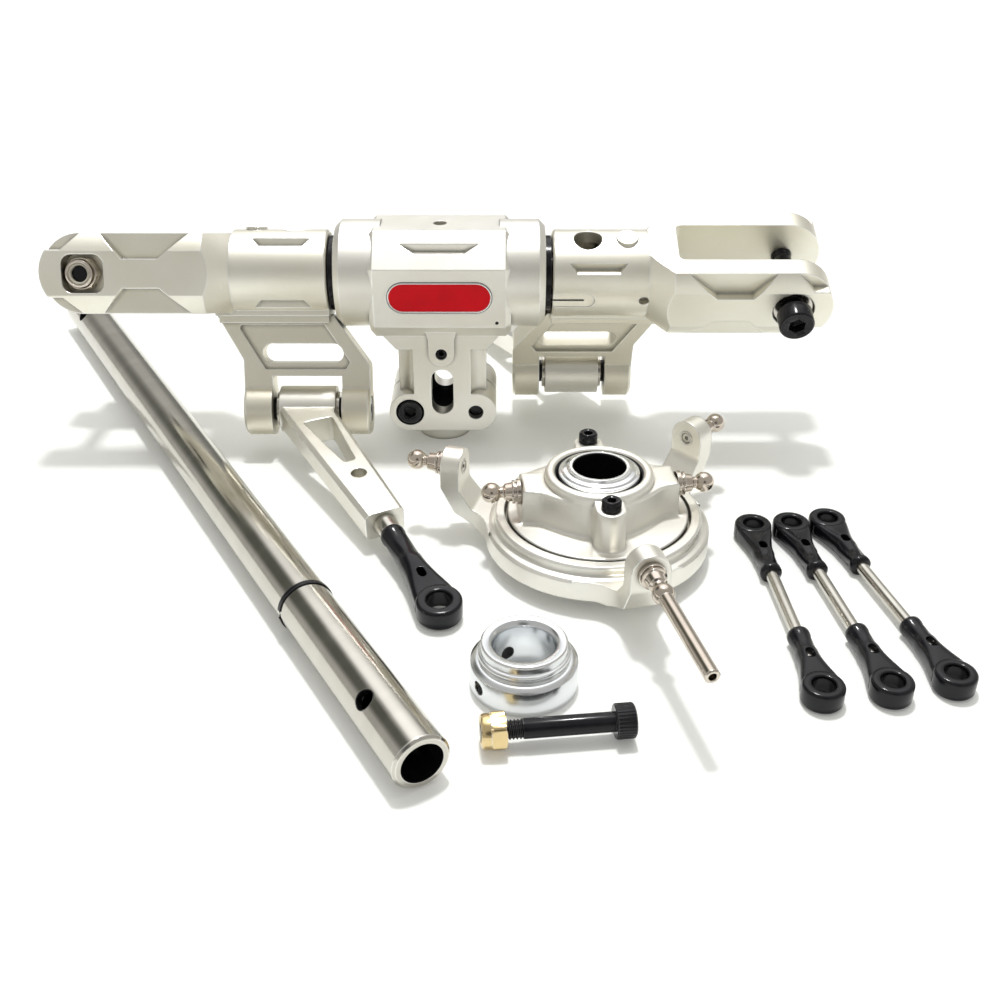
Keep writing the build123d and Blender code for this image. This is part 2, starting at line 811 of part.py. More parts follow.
def make_blade_fasteners():
    half_width = fork_width / 2
    washer_seat = half_width - washer_seat_depth
    head_seat = washer_seat + blade_washer_thickness + blade_head_stand
    length = head_seat + half_width - nut_pocket_depth + blade_nut_height
    bolt = make_cap_screw(blade_bolt_diameter, length, blade_head_diameter, blade_head_height, 4.0)
    write_pair(bolt, "blade_bolt", {
        side: place * Location((bolt_distance, -head_seat, 0), (-90, 0, 0))
        for side, place in grip_places.items()
    })
    with BuildPart() as washer:
        with BuildSketch(Plane.XY):
            Circle(blade_washer_diameter / 2)
            Circle(blade_bolt_diameter / 2 + screw_gap, mode=Mode.SUBTRACT)
        extrude(amount=blade_washer_thickness)
    write_pair(washer.part, "blade_washer", {
        side: place * Location((bolt_distance, -washer_seat - blade_washer_thickness, 0), (-90, 0, 0))
        for side, place in grip_places.items()
    })
    with BuildPart() as nut:
        with BuildSketch(Plane.XY):
            RegularPolygon(blade_nut_flats / 2, 6, major_radius=False, rotation=30)
        extrude(amount=blade_nut_height)
        with BuildSketch(Plane.XY.offset(blade_nut_height)):
            Circle(blade_nut_collar / 2)
        extrude(amount=blade_nut_collar_height)
        fillet(nut.faces().sort_by(Axis.Z)[-1].edges(), 0.5)
        with BuildSketch(Plane.XY):
            Circle(blade_bolt_diameter / 2 + screw_gap)
        extrude(amount=blade_nut_height + blade_nut_collar_height, mode=Mode.SUBTRACT)
    write_pair(nut.part, "blade_nut", {
        side: place * Location((bolt_distance, half_width - nut_pocket_depth, 0), (-90, 0, 0))
        for side, place in grip_places.items()
    })


# Pitch arm
def make_pitch_arm():
    half_plate = arm_thickness / 2
    with BuildPart() as arm:
        # Plate between the barrel and the clevis
        with BuildSketch(Plane.XZ.offset(-half_plate)) as outline:
            with BuildLine():
                Polyline(
                    (arm_foot_start, -arm_seat),
                    (arm_foot_end, -arm_seat),
                    (clevis_end, -arm_shoulder),
                    (clevis_end, -arm_length),
                    (clevis_start, -arm_length),
                    (clevis_start, -arm_shoulder - 1.5),
                    close=True,
                )
            make_face()
            fillet(outline.vertices().group_by(Axis.Y)[1:3], 2.0)
        extrude(amount=arm_thickness)
        # Foot along the barrel
        with BuildSketch(Plane.XY.offset(-arm_seat - arm_foot_height)):
            with Locations(((arm_foot_start + 1 + arm_foot_end - 1) / 2, 0)):
                Rectangle(arm_foot_end - arm_foot_start - 2, arm_foot_width)
        extrude(amount=arm_foot_height)
        # Ears of the clevis
        with BuildSketch(Plane.YZ.offset(clevis_start)):
            with Locations((0, -arm_length)):
                Circle(ear_radius)
        extrude(amount=clevis_end - clevis_start)
        chamfer(arm.edges().filter_by(GeomType.CIRCLE).filter_by(lambda e: abs(e.radius - ear_radius) < 0.01), 0.6)
        with BuildSketch(Plane.XZ.offset(-2 * ear_radius)):
            with Locations((pin_x, -clevis_gap_top - ear_radius * 2)):
                Rectangle(clevis_gap, ear_radius * 4)
        extrude(amount=4 * ear_radius, mode=Mode.SUBTRACT)
        # Window and the shallow recesses around it
        with BuildSketch(Plane.XZ.offset(-half_plate)):
            with Locations((pin_x + arm_window_offset, -arm_window_drop)):
                SlotOverall(arm_window_length, arm_window_height)
        extrude(amount=arm_thickness, mode=Mode.SUBTRACT)
        for face in (-1, 1):
            with BuildSketch(Plane.XZ.offset(face * (half_plate - arm_recess_depth))) as recess:
                with BuildLine():
                    Polyline(
                        (arm_foot_start + 2.5, -arm_seat - arm_foot_height - arm_recess_rim),
                        (arm_foot_end - 5.3, -arm_seat - arm_foot_height - arm_recess_rim),
                        (clevis_end - 5.8, -clevis_gap_top + 3 * arm_recess_rim),
                        (clevis_start + 6.4, -clevis_gap_top + 3 * arm_recess_rim),
                        (clevis_start + 5.2, -arm_shoulder - arm_recess_rim),
                        close=True,
                    )
                make_face()
                fillet(recess.vertices(), 0.8)
            extrude(amount=face * half_plate, mode=Mode.SUBTRACT)
        # Pin hole, with a seat for the pin's head on the outer face
        with BuildSketch(Plane.YZ.offset(clevis_start)):
            with Locations((0, -arm_length)):
                Circle(pin_diameter / 2 + screw_gap)
        extrude(amount=clevis_end - clevis_start, mode=Mode.SUBTRACT)
        with BuildSketch(Plane.YZ.offset(clevis_start)):
            with Locations((0, -arm_length)):
                Circle(pin_head_diameter / 2 + 0.2)
        extrude(amount=pin_head_height, mode=Mode.SUBTRACT)
        # Threaded holes for the two arm screws
        with BuildSketch(Plane.XY.offset(-arm_seat - 6)):
            with Locations((access_hole_distance, 0), (arm_screw_distance, 0)):
                Circle(arm_screw_diameter / 2 + screw_gap)
        extrude(amount=7, mode=Mode.SUBTRACT)
    write_pair(arm.part, "pitch_arm", grip_places)


def make_arm_screws():
    with BuildPart() as screw:
        with BuildSketch(Plane.XY.offset(-arm_seat + 1.2)):
            Circle(arm_screw_head_diameter / 2)
        extrude(amount=1.4)
        with BuildSketch(Plane.XY.offset(-arm_seat + 1.2)):
            Circle(arm_screw_diameter / 2)
        extrude(amount=-arm_screw_length + 1.4)
        with BuildSketch(Plane.XY.offset(-arm_seat + 2.6)):
            RegularPolygon(1.0, 6, major_radius=False)
        extrude(amount=-1.0, mode=Mode.SUBTRACT)
    pair = Compound([
        screw.part.moved(Location((distance, 0, 0)))
        for distance in (access_hole_distance, arm_screw_distance)
    ])
    write_pair(pair, "arm_screws", grip_places)


# Lever between the pitch arm and the ball link. Its local origin is on the pin.
def make_lever():
    half_width = lever_width / 2
    slant = math.radians(lever_slant)
    end_x = -lever_body_reach * math.sin(slant)
    end_y = lever_body_reach * math.cos(slant)
    side_x = lever_end_width / 2 * math.cos(slant)
    side_y = lever_end_width / 2 * math.sin(slant)
    root = link_flange_diameter / 2 + lever_root_gap
    with BuildPart() as lever:
        with BuildSketch(Plane.XY.offset(-lever_thickness / 2)):
            with BuildLine():
                Polyline(
                    (half_width, 0),
                    (half_width, root),
                    (end_x + side_x, end_y + side_y),
                    (end_x - side_x, end_y - side_y),
                    (-half_width, root),
                    (-half_width, 0),
                    close=True,
                )
            make_face()
        extrude(amount=lever_thickness)
        chamfer(lever.edges().filter_by(lambda e: e.length > 0.6 * lever_body_reach), lever_chamfer)
        with BuildSketch(Plane.YZ.offset(-half_width)):
            Circle(lever_barrel_radius)
        extrude(amount=lever_width)
        # Long slanted slot and the round hole beyond it
        with BuildSketch(lever_plan.offset(-lever_thickness)) as slot:
            with BuildLine():
                Polyline(
                    (lever_slot_root[0], lever_slot_start),
                    (lever_slot_root[1], lever_slot_start + 0.5),
                    (lever_slot_tip[1], lever_slot_end),
                    (lever_slot_tip[0], lever_slot_end),
                    close=True,
                )
            make_face()
            fillet(slot.vertices(), 1.0)
        extrude(amount=2 * lever_thickness, mode=Mode.SUBTRACT)
        with BuildSketch(lever_plan.offset(-lever_thickness)):
            with Locations((0, lever_hole_reach)):
                Circle(lever_hole_diameter / 2)
        extrude(amount=2 * lever_thickness, mode=Mode.SUBTRACT)
        # Thread for the stud, along the lever's slanted axis
        with BuildSketch(lever_axis_plane.offset(lever_body_reach - stud_in_lever)):
            Circle(stud_diameter / 2 + screw_gap)
        extrude(amount=stud_in_lever + 5, mode=Mode.SUBTRACT)
        # Pin bore and bearing seats
        with BuildSketch(Plane.YZ.offset(-half_width)):
            Circle(pin_diameter / 2 + 0.6)
        extrude(amount=lever_width, mode=Mode.SUBTRACT)
        for side in (-1, 1):
            with BuildSketch(Plane.YZ.offset(side * half_width)):
                Circle(link_bearing_diameter / 2 + seat_gap)
            extrude(amount=-side * link_bearing_width, mode=Mode.SUBTRACT)
    write_pair(lever.part, "lever", lever_places)


def make_lever_bearings():
    half_width = lever_width / 2
    bore = pin_diameter / 2 + running_gap
    rings = []
    for side in (-1, 1):
        with BuildPart() as bearing:
            with BuildSketch(Plane.YZ.offset(side * half_width)):
                Circle(link_bearing_diameter / 2)
                Circle(bore, mode=Mode.SUBTRACT)
            extrude(amount=-side * link_bearing_width)
            with BuildSketch(Plane.YZ.offset(side * (half_width + seat_gap))):
                Circle(link_flange_diameter / 2)
                Circle(bore, mode=Mode.SUBTRACT)
            extrude(amount=side * link_flange_width)
            with BuildSketch(Plane.YZ.offset(side * half_width)):
                Circle(link_bearing_diameter / 2)
                Circle(bore, mode=Mode.SUBTRACT)
            extrude(amount=side * seat_gap)
        rings.append(bearing.part)
    write_pair(Compound(rings), "lever_bearings", lever_places)


def make_lever_pin():
    ear_outer = (clevis_end - clevis_start) / 2
    shim_start = lever_width / 2 + seat_gap + link_flange_width + 0.1
    shim_end = clevis_gap / 2 - 0.02
    with BuildPart() as pin:
        with BuildSketch(Plane.YZ.offset(-ear_outer + 0.2)):
            Circle(pin_head_diameter / 2)
        extrude(amount=pin_head_height - 0.2)
        with BuildSketch(Plane.YZ.offset(-ear_outer + 0.2)):
            RegularPolygon(1.25, 6, major_radius=False)
        extrude(amount=0.9, mode=Mode.SUBTRACT)
        with BuildSketch(Plane.YZ.offset(-ear_outer + pin_head_height)):
            Circle(pin_diameter / 2)
        extrude(amount=2 * ear_outer - pin_head_height - 0.8)
        # Shim rings beside the lever's bearings
        for side in (-1, 1):
            with BuildSketch(Plane.YZ.offset(side * shim_start)):
                Circle(pin_diameter / 2 + 1.1)
            extrude(amount=side * (shim_end - shim_start))
    write_pair(pin.part, "lever_pin", {
        side: place * Location((pin_x, 0, -arm_length))
        for side, place in grip_places.items()
    })


# Stud and ball link on the lever's axis
def make_lever_stud():
    with BuildPart() as stud:
        with BuildSketch(lever_axis_plane.offset(lever_body_reach + seat_gap)):
            Circle(stud_collar_diameter / 2)
        extrude(amount=stud_collar_length)
        with BuildSketch(lever_axis_plane.offset(lever_body_reach - stud_in_lever + 0.5)):
            Circle(stud_diameter / 2)
        extrude(amount=stud_in_lever + stud_collar_length + stud_in_link)
    write_pair(stud.part, "lever_stud", lever_places)


def make_ball_end(reach, radius, thickness, shank_diameter, shank_length, thread_diameter, thread_length):
    """A moulded ball link along +Y with its eye at the origin and its shank end at -reach."""
    with BuildPart() as link:
        # Flat body that widens from the shank to the eye
        shank_end = -reach + shank_length
        with BuildSketch(Plane.XY.offset(-thickness / 2)):
            Circle(radius)
            with Locations((0, shank_end)):
                Rectangle(shank_diameter, 1)
            make_hull()
        extrude(amount=thickness)
        chamfer(link.faces().filter_by(Axis.Z).edges(), 0.7)
        # Round shank with a domed end that runs out on the body
        with BuildSketch(Plane.XY):
            with BuildLine():
                half = shank_diameter / 2
                dome = shank_end + shank_diameter * 0.7
                Polyline((0, -reach), (half, -reach), (half, dome))
                ThreePointArc((half, dome), (half * 0.707, dome + half * 0.707), (0, dome + half))
                Line((0, dome + half), (0, -reach))
            make_face()
        revolve(axis=Axis.Y)
        # Eye, with a dish on each face
        with BuildSketch(Plane.XY.offset(-thickness)):
            Circle(eye_bore / 2)
        extrude(amount=2 * thickness, mode=Mode.SUBTRACT)
        for face in (-1, 1):
            with BuildSketch(Plane.XY.offset(face * (thickness / 2 - eye_dish))):
                Circle(radius - 1.1)
            extrude(amount=face * thickness, mode=Mode.SUBTRACT)
        # Mould hole through the body, and the thread in the shank
        with BuildSketch(Plane.XY.offset(-shank_diameter)):
            with Locations((0, -mould_hole_distance)):
                SlotOverall(1.6 * mould_hole_width, mould_hole_width, rotation=90)
        extrude(amount=2 * shank_diameter, mode=Mode.SUBTRACT)
        with BuildSketch(Plane.XZ.offset(reach)):
            Circle(thread_diameter / 2 + screw_gap)
        extrude(amount=-thread_length - 0.5, mode=Mode.SUBTRACT)
    return link.part


def make_ball_links():
    start = lever_body_reach + stud_collar_length + 2 * seat_gap
    link = make_ball_end(
        lever_reach - start,
        eye_radius,
        eye_thickness,
        link_shank_diameter,
        link_shank_length,
        stud_diameter,
        stud_in_link,
    )
    eye = Location((-lever_inward, lever_forward, 0), (0, 0, lever_slant))
    write_pair(link, "ball_link", {side: place * eye for side, place in lever_places.items()})


# Mast, its snap ring, the collar, and the bolt and nut that hold the mast
mast_radius = mast_diameter / 2
mast_lie = Location((mast_end_x, mast_end_y, ring_diameter / 2), (0, 0, mast_turn))
mast_place = mast_lie * Location((0, 0, 0), (0, -90, 0))


def make_mast():
    """The mast's local Z runs from the near end to the far end."""
    with BuildPart() as mast:
        with BuildSketch(Plane.XY):
            Circle(mast_radius)
            Circle(mast_bore / 2, mode=Mode.SUBTRACT)
        extrude(amount=mast_length)
        chamfer(
            mast.edges().filter_by(GeomType.CIRCLE).filter_by(lambda e: abs(e.radius - mast_radius) < 0.01),
            mast_chamfer,
        )
        with BuildSketch(Plane.XY.offset(ring_distance)):
            Circle(mast_diameter)
            Circle(ring_groove / 2, mode=Mode.SUBTRACT)
        extrude(amount=ring_width, mode=Mode.SUBTRACT)
        hole_plane = Plane.XZ.rotated((0, 0, mast_hole_roll))
        with BuildSketch(hole_plane.offset(-mast_diameter)):
            with Locations((0, mast_hole_distance), (0, mast_length - mast_hole_distance)):
                Circle(mast_hole_diameter / 2)
        extrude(amount=2 * mast_diameter, mode=Mode.SUBTRACT)
    write(mast.part, "mast", mast_place)
    with BuildPart() as ring:
        with BuildSketch(Plane.XY.offset(ring_distance + seat_gap)):
            Circle(ring_diameter / 2)
            Circle(ring_groove / 2 + seat_gap, mode=Mode.SUBTRACT)
            Rectangle(2.0, ring_diameter, align=(Align.CENTER, Align.MAX), mode=Mode.SUBTRACT)
        extrude(amount=ring_width - 2 * seat_gap)
    write(ring.part, "snap_ring", mast_place)


def make_collar():
    flange = collar_flange_diameter / 2
    top = collar_top_diameter / 2
    groove = collar_groove_diameter / 2
    with BuildPart() as collar:
        with BuildSketch(Plane.XZ):
            with BuildLine():
                Polyline(
                    (mast_radius + running_gap, 0.5),
                    (mast_radius + running_gap + 0.5, 0),
                    (flange - 0.7, 0),
                    (flange, 0.7),
                    (flange, collar_flange_height - 1.8),
                    (flange - 1.3, collar_flange_height - 0.3),
                    (groove + 0.3, collar_flange_height),
                    (groove, collar_flange_height + 0.5),
                    (groove, collar_flange_height + 1.0),
                    (top, collar_flange_height + 1.6),
                    (top, collar_height - 0.7),
                    (top - 0.7, collar_height),
                    (mast_radius + running_gap + 0.6, collar_height),
                    (mast_radius + running_gap, collar_height - 0.6),
                    close=True,
                )
            make_face()
        revolve(axis=Axis.Z)
        for angle in collar_screw_angles:
            with BuildSketch(Plane.XZ.rotated((0, 0, angle + 90))):
                with Locations((0, collar_screw_height)):
                    Circle(clamp_screw_diameter / 2 - 0.3)
            extrude(amount=flange + 1, mode=Mode.SUBTRACT)
    place = Location((collar_x, collar_y, 0))
    write(collar.part, "mast_collar", place)
    screw_diameter = clamp_screw_diameter - 0.6 - 2 * screw_gap
    screw = make_set_screw(screw_diameter, flange - mast_radius - 1.4, 1.6)
    screws = [
        screw.moved(
            place
            * Location((0, 0, 0), (0, 0, angle + 90))
            * Location((0, -flange + 0.9, collar_screw_height), (-90, 0, 0))
        )
        for angle in collar_screw_angles
    ]
    write(Compound(screws), "collar_set_screws")


def make_mast_bolt():
    bolt = make_cap_screw(
        mast_bolt_diameter, mast_bolt_length, mast_bolt_head_diameter, mast_bolt_head_height, 3.0
    )
    lie = Location((mast_bolt_x, mast_bolt_y, mast_nut_flange_diameter / 2), (0, 0, mast_bolt_turn))
    under_head = Location((mast_bolt_length, 0, 0), (0, -90, 0))
    write(bolt, "mast_bolt", lie * under_head)
    with BuildPart() as nut:
        with BuildSketch(Plane.YZ):
            RegularPolygon(mast_nut_flats / 2, 6, major_radius=False)
        extrude(amount=mast_nut_height)
        with BuildSketch(Plane.YZ.offset(mast_nut_height - mast_nut_flange_height)):
            Circle(mast_nut_flange_diameter / 2)
        extrude(amount=mast_nut_flange_height)
        with BuildSketch(Plane.YZ):
            Circle(mast_bolt_diameter / 2 + screw_gap)
        extrude(amount=mast_nut_height, mode=Mode.SUBTRACT)
    write(nut.part, "mast_nut", lie)


# Swashplate
def make_neck_ball(face, centre):
    """A neck ball along local X: its stud ends in the face it is screwed to, at the distance given."""
    ball = link_ball_diameter / 2
    neck = neck_diameter / 2
    stud = neck_stud_diameter / 2
    collar = neck_collar_diameter / 2
    with BuildPart() as piece:
        with BuildSketch(Plane.XZ):
            with BuildLine():
                touch = math.sqrt(ball**2 - neck**2)
                Polyline(
                    (face - neck_stud_length, 0),
                    (face - neck_stud_length, stud),
                    (face + seat_gap, stud),
                    (face + seat_gap, collar),
                    (face + seat_gap + neck_collar_thickness, collar),
                    (face + seat_gap + neck_collar_thickness, collar - neck_collar_step),
                    (face + seat_gap + neck_collar_thickness + 0.5, collar - neck_collar_step),
                    (centre - touch - 0.4, neck),
                    (centre - touch, neck),
                )
                ThreePointArc((centre - touch, neck), (centre, ball), (centre + ball, 0))
                Line((centre + ball, 0), (face - neck_stud_length, 0))
            make_face()
        revolve(axis=Axis.X)
    return piece.part


def make_horn():
    """One horn along local X: its side view, cut to a plan that swells out of the ring."""
    outer = ring_outer_diameter / 2
    start = ring_inner_diameter / 2 + 1
    back = horn_face - horn_thickness
    low = ring_bottom + 0.8
    with BuildPart() as horn:
        with BuildSketch(Plane.XZ.offset(-outer)) as side:
            with BuildLine():
                Polyline(
                    (start, low),
                    (outer + 1, low),
                    (horn_face - 3.4, low + 3.6),
                    (horn_face, horn_ball_height - 4.4),
                    (horn_face, horn_top),
                    (back, horn_top),
                    (back, horn_ball_height - 4.8),
                    (outer + 3.2, ring_flange_top + 0.4),
                    (start, ring_flange_top),
                    close=True,
                )
            make_face()
            bends = [v for v in side.vertices() if outer < v.X and low < v.Y < horn_top]
            fillet(bends, 2.0)
        extrude(amount=2 * outer)
        with BuildSketch() as plan:
            Circle(outer)
            with Locations((horn_face / 2, 0)):
                Rectangle(horn_face, horn_width)
            roots = [v for v in plan.vertices() if 1 < v.X < outer and abs(v.Y) > 1]
            fillet(roots, horn_fillet)
        extrude(amount=horn_top, mode=Mode.INTERSECT)
        # Rounded top of the tab and the thread for its ball
        with BuildSketch(Plane.YZ.offset(back - 1)):
            with Locations((0, horn_top - horn_width / 2)):
                Rectangle(horn_width + 1, horn_width / 2 + 1, align=(Align.CENTER, Align.MIN))
                Circle(horn_width / 2, mode=Mode.SUBTRACT)
        extrude(amount=horn_thickness + 2, mode=Mode.SUBTRACT)
        with BuildSketch(Plane.YZ.offset(back - 1)):
            with Locations((0, horn_ball_height)):
                Circle(neck_stud_diameter / 2 + screw_gap)
        extrude(amount=horn_thickness + 2, mode=Mode.SUBTRACT)
    return horn.part


def make_swash_ring():
    horn = make_horn()
    outer = ring_outer_diameter / 2
    inner = ring_inner_diameter / 2
    lip = ring_lip_diameter / 2
    with BuildPart() as ring:
        with BuildSketch(Plane.XZ):
            with BuildLine():
                Polyline(
                    (inner, ring_bottom),
                    (outer - 0.8, ring_bottom),
                    (outer, ring_bottom + 0.8),
                    (outer, ring_flange_top - 0.6),
                    (outer - 0.6, ring_flange_top),
                    (lip + 0.4, ring_flange_top + 0.4),
                    (lip, ring_flange_top + 0.9),
                    (lip, ring_lip_top - 0.5),
                    (lip - 0.5, ring_lip_top),
                    (inner, ring_lip_top),
                    close=True,
                )
            make_face()
        revolve(axis=Axis.Z)
        # Three horns around it
        with Locations([Location((0, 0, 0), (0, 0, angle)) for angle in horn_angles]):
            add(horn)
    write(ring.part, "swash_ring", swash_place)


def make_swash_balls():
    ball = make_neck_ball(horn_face, horn_reach)
    plain = [
        ball.moved(swash_place * Location((0, 0, horn_ball_height), (0, 0, angle)))
        for angle in horn_angles[:2]
    ]
    write(Compound(plain), "horn_balls")
    with BuildPart() as pin:
        add(ball)
        with BuildSketch(Plane.YZ.offset(horn_reach)):
            Circle(antirotation_diameter / 2)
        extrude(amount=pin_reach - horn_reach)
        chamfer(pin.faces().sort_by(Axis.X)[-1].edges(), 0.3)
        with BuildSketch(Plane.YZ.offset(pin_reach)):
            Circle(antirotation_bore / 2)
        extrude(amount=-antirotation_bore_depth, mode=Mode.SUBTRACT)
    write(pin.part, "antirotation_pin", swash_place * Location((0, 0, horn_ball_height), (0, 0, horn_angles[2])))


def make_swash_bearing():
    with BuildPart() as race:
        with BuildSketch(Plane.XY.offset(race_bottom)):
            Circle(ring_inner_diameter / 2 - seat_gap)
            Circle(race_inner_diameter / 2 + running_gap, mode=Mode.SUBTRACT)
        extrude(amount=race_top - race_bottom)
    write(race.part, "swash_bearing", swash_place)


def make_swash_star():
    hub = star_hub_diameter / 2
    socket = ball_radius + socket_gap
    throat = socket_throat / 2
    with BuildPart() as star:
        # Hub through the big bearing, and the disc that covers it
        with BuildSketch(Plane.XY):
            Circle(swash_foot_diameter / 2)
        extrude(amount=disc_bottom)
        with BuildSketch(Plane.XY.offset(disc_bottom)):
            Circle(disc_diameter / 2)
        extrude(amount=disc_top - disc_bottom)
        chamfer(star.faces().sort_by(Axis.Z)[-1].edges(), 0.4)
        # Star body with two arms and two screw lugs
        with BuildSketch(Plane.XY.offset(disc_top)) as plan:
            Circle(hub)
            Rectangle(2 * star_arm_reach, star_arm_width)
            with Locations((0, star_screw_distance), (0, -star_screw_distance)):
                Circle(star_lug_radius)
            Rectangle(2 * star_lug_radius, 2 * star_screw_distance)
            inner_corners = [v for v in plan.vertices() if math.hypot(v.X, v.Y) < hub + 0.2]
            fillet(inner_corners, star_fillet)
        extrude(amount=star_body_top - disc_top)
        fillet(star.faces().sort_by(Axis.Z)[-1].edges(), 0.5)
        # Rounded rim around the socket, and the lugs' raised tops
        with BuildSketch(Plane.XY.offset(star_body_top - 1)):
            Circle(hub)
        extrude(amount=star_rim_top - star_body_top + 1)
        fillet(star.faces().sort_by(Axis.Z)[-1].edges(), star_rim_fillet)
        with BuildSketch(Plane.XY.offset(star_body_top - 1)):
            with Locations((0, star_screw_distance), (0, -star_screw_distance)):
                Circle(star_lug_radius)
            Rectangle(2 * star_lug_radius, 2 * star_screw_distance)
        extrude(amount=star_lug_top - star_body_top + 1)
        # Socket for the ball, open above and below
        with BuildSketch(Plane.XZ):
            with BuildLine():
                low = -math.sqrt(socket**2 - throat**2)
                high = star_rim_top - 1.0 - ball_height
                side = math.sqrt(socket**2 - high**2)
                Polyline(
                    (0, 0),
                    (throat, 0),
                    (throat, ball_height + low),
                )
                ThreePointArc((throat, ball_height + low), (socket, ball_height), (side, ball_height + high))
                Polyline(
                    (side, ball_height + high),
                    (side + 1.0, star_rim_top),
                    (0, star_rim_top),
                    (0, 0),
                )
            make_face()
        revolve(axis=Axis.Z, mode=Mode.SUBTRACT)
        # Threads for the balls and the lug screws
        with BuildSketch(Plane.YZ.offset(-star_arm_reach - 1)):
            with Locations((0, star_ball_height)):
                Circle(neck_stud_diameter / 2 + screw_gap)
        extrude(amount=neck_stud_length + 2, mode=Mode.SUBTRACT)
        with BuildSketch(Plane.YZ.offset(star_arm_reach + 1)):
            with Locations((0, star_ball_height)):
                Circle(neck_stud_diameter / 2 + screw_gap)
        extrude(amount=-neck_stud_length - 2, mode=Mode.SUBTRACT)
        with BuildSketch(Plane.XY.offset(star_lug_top)):
            with Locations((0, star_screw_distance), (0, -star_screw_distance)):
                Circle(star_screw_diameter / 2 + screw_gap)
        extrude(amount=-star_screw_length - 1, mode=Mode.SUBTRACT)
    write(star.part, "swash_star", star_place)


def make_star_fittings():
    ball = make_neck_ball(star_arm_reach, star_ball_reach)
    rise = Location((0, 0, star_ball_height))
    write(Compound([ball.moved(star_place * rise), ball.moved(star_place * rise * half_turn)]), "star_balls")
    screw = make_cap_screw(
        star_screw_diameter, star_screw_length, star_screw_head, star_screw_head_height, 2.0
    )
    screws = [
        screw.moved(star_place * Location((0, side * star_screw_distance, star_lug_top), (180, 0, 0)))
        for side in (-1, 1)
    ]
    write(Compound(screws), "star_screws")


def make_swash_ball():
    with BuildPart() as ball:
        with BuildSketch(Plane.XZ):
            with BuildLine():
                rim = math.sqrt(ball_radius**2 - ball_half_height**2)
                bore = mast_diameter / 2 + running_gap
                Polyline(
                    (rim, ball_height - ball_half_height),
                    (bore + 0.4, ball_height - ball_half_height),
                    (bore, ball_height - ball_half_height + 0.4),
                    (bore, ball_height + ball_half_height - 0.4),
                    (bore + 0.4, ball_height + ball_half_height),
                    (rim, ball_height + ball_half_height),
                )
                ThreePointArc(
                    (rim, ball_height + ball_half_height),
                    (ball_radius, ball_height),
                    (rim, ball_height - ball_half_height),
                )
            make_face()
        revolve(axis=Axis.Z)
    write(ball.part, "swash_ball", star_place)


# Linkage rods with a moulded end at each end
def make_rods():
    end = make_ball_end(
        rod_end_length,
        rod_eye_radius,
        rod_eye_thickness,
        rod_shank_diameter,
        rod_shank_length,
        rod_diameter,
        rod_in_end,
    )
    height = rod_shank_diameter / 2
    rod_length = rod_eye_distance - 2 * (rod_end_length - rod_in_end)
    for number, (far_x, far_y, turn) in enumerate(zip(rod_far_x, rod_far_y, rod_turns), start=1):
        far = Location((far_x, far_y, height), (0, 0, turn))
        near = far * Location((0, -rod_eye_distance, 0), (0, 0, 180))
        with BuildPart() as rod:
            with BuildSketch(Plane.XZ.offset(rod_end_length - rod_in_end)):
                Circle(rod_diameter / 2)
            extrude(amount=rod_length)
        write(rod.part, f"link_rod_{number}", far)
        write(Compound([end.moved(near), end.moved(far)]), f"rod_ends_{number}")


make_head_block()
make_label_plate()
make_head_screws()
make_spindle()
make_spindle_stack()
make_grip()
make_grip_bearings()
make_blade_fasteners()
make_pitch_arm()
make_arm_screws()
make_lever()
make_lever_bearings()
make_lever_pin()
make_lever_stud()
make_ball_links()
make_mast()
make_collar()
make_mast_bolt()
make_swash_ring()
make_swash_balls()
make_swash_bearing()
make_swash_star()
make_star_fittings()
make_swash_ball()
make_rods()
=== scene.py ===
"""Finish and small fittings of a model helicopter's rotor head set, laid out on a pale table."""

import functools
import math

import bmesh
import bpy
from mathutils import Matrix, Vector


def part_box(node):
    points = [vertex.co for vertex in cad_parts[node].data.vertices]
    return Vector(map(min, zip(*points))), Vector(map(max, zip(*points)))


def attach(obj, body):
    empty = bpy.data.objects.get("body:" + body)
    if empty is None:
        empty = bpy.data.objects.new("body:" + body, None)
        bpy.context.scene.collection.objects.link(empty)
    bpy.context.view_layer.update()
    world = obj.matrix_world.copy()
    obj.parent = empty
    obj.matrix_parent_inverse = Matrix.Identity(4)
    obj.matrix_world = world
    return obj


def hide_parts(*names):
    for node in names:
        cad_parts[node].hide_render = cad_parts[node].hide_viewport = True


bl_info = {
    "name": "Rotor Head Set",
    "version": (1, 0, 0),
    "blender": (4, 5, 0),
    "location": "View3D > Sidebar > Rotor Head",
    "description": "Finishes the pieces of a rotor head set and lights them on a table",
    "category": "Object",
}

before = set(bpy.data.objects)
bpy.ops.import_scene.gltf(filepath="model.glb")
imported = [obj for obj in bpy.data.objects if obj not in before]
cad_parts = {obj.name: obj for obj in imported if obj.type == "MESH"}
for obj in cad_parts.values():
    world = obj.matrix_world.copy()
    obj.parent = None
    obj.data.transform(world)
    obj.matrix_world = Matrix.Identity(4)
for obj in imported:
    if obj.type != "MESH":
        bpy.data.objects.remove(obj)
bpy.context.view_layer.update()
MM = 0.001
SIDES = ("right", "left")


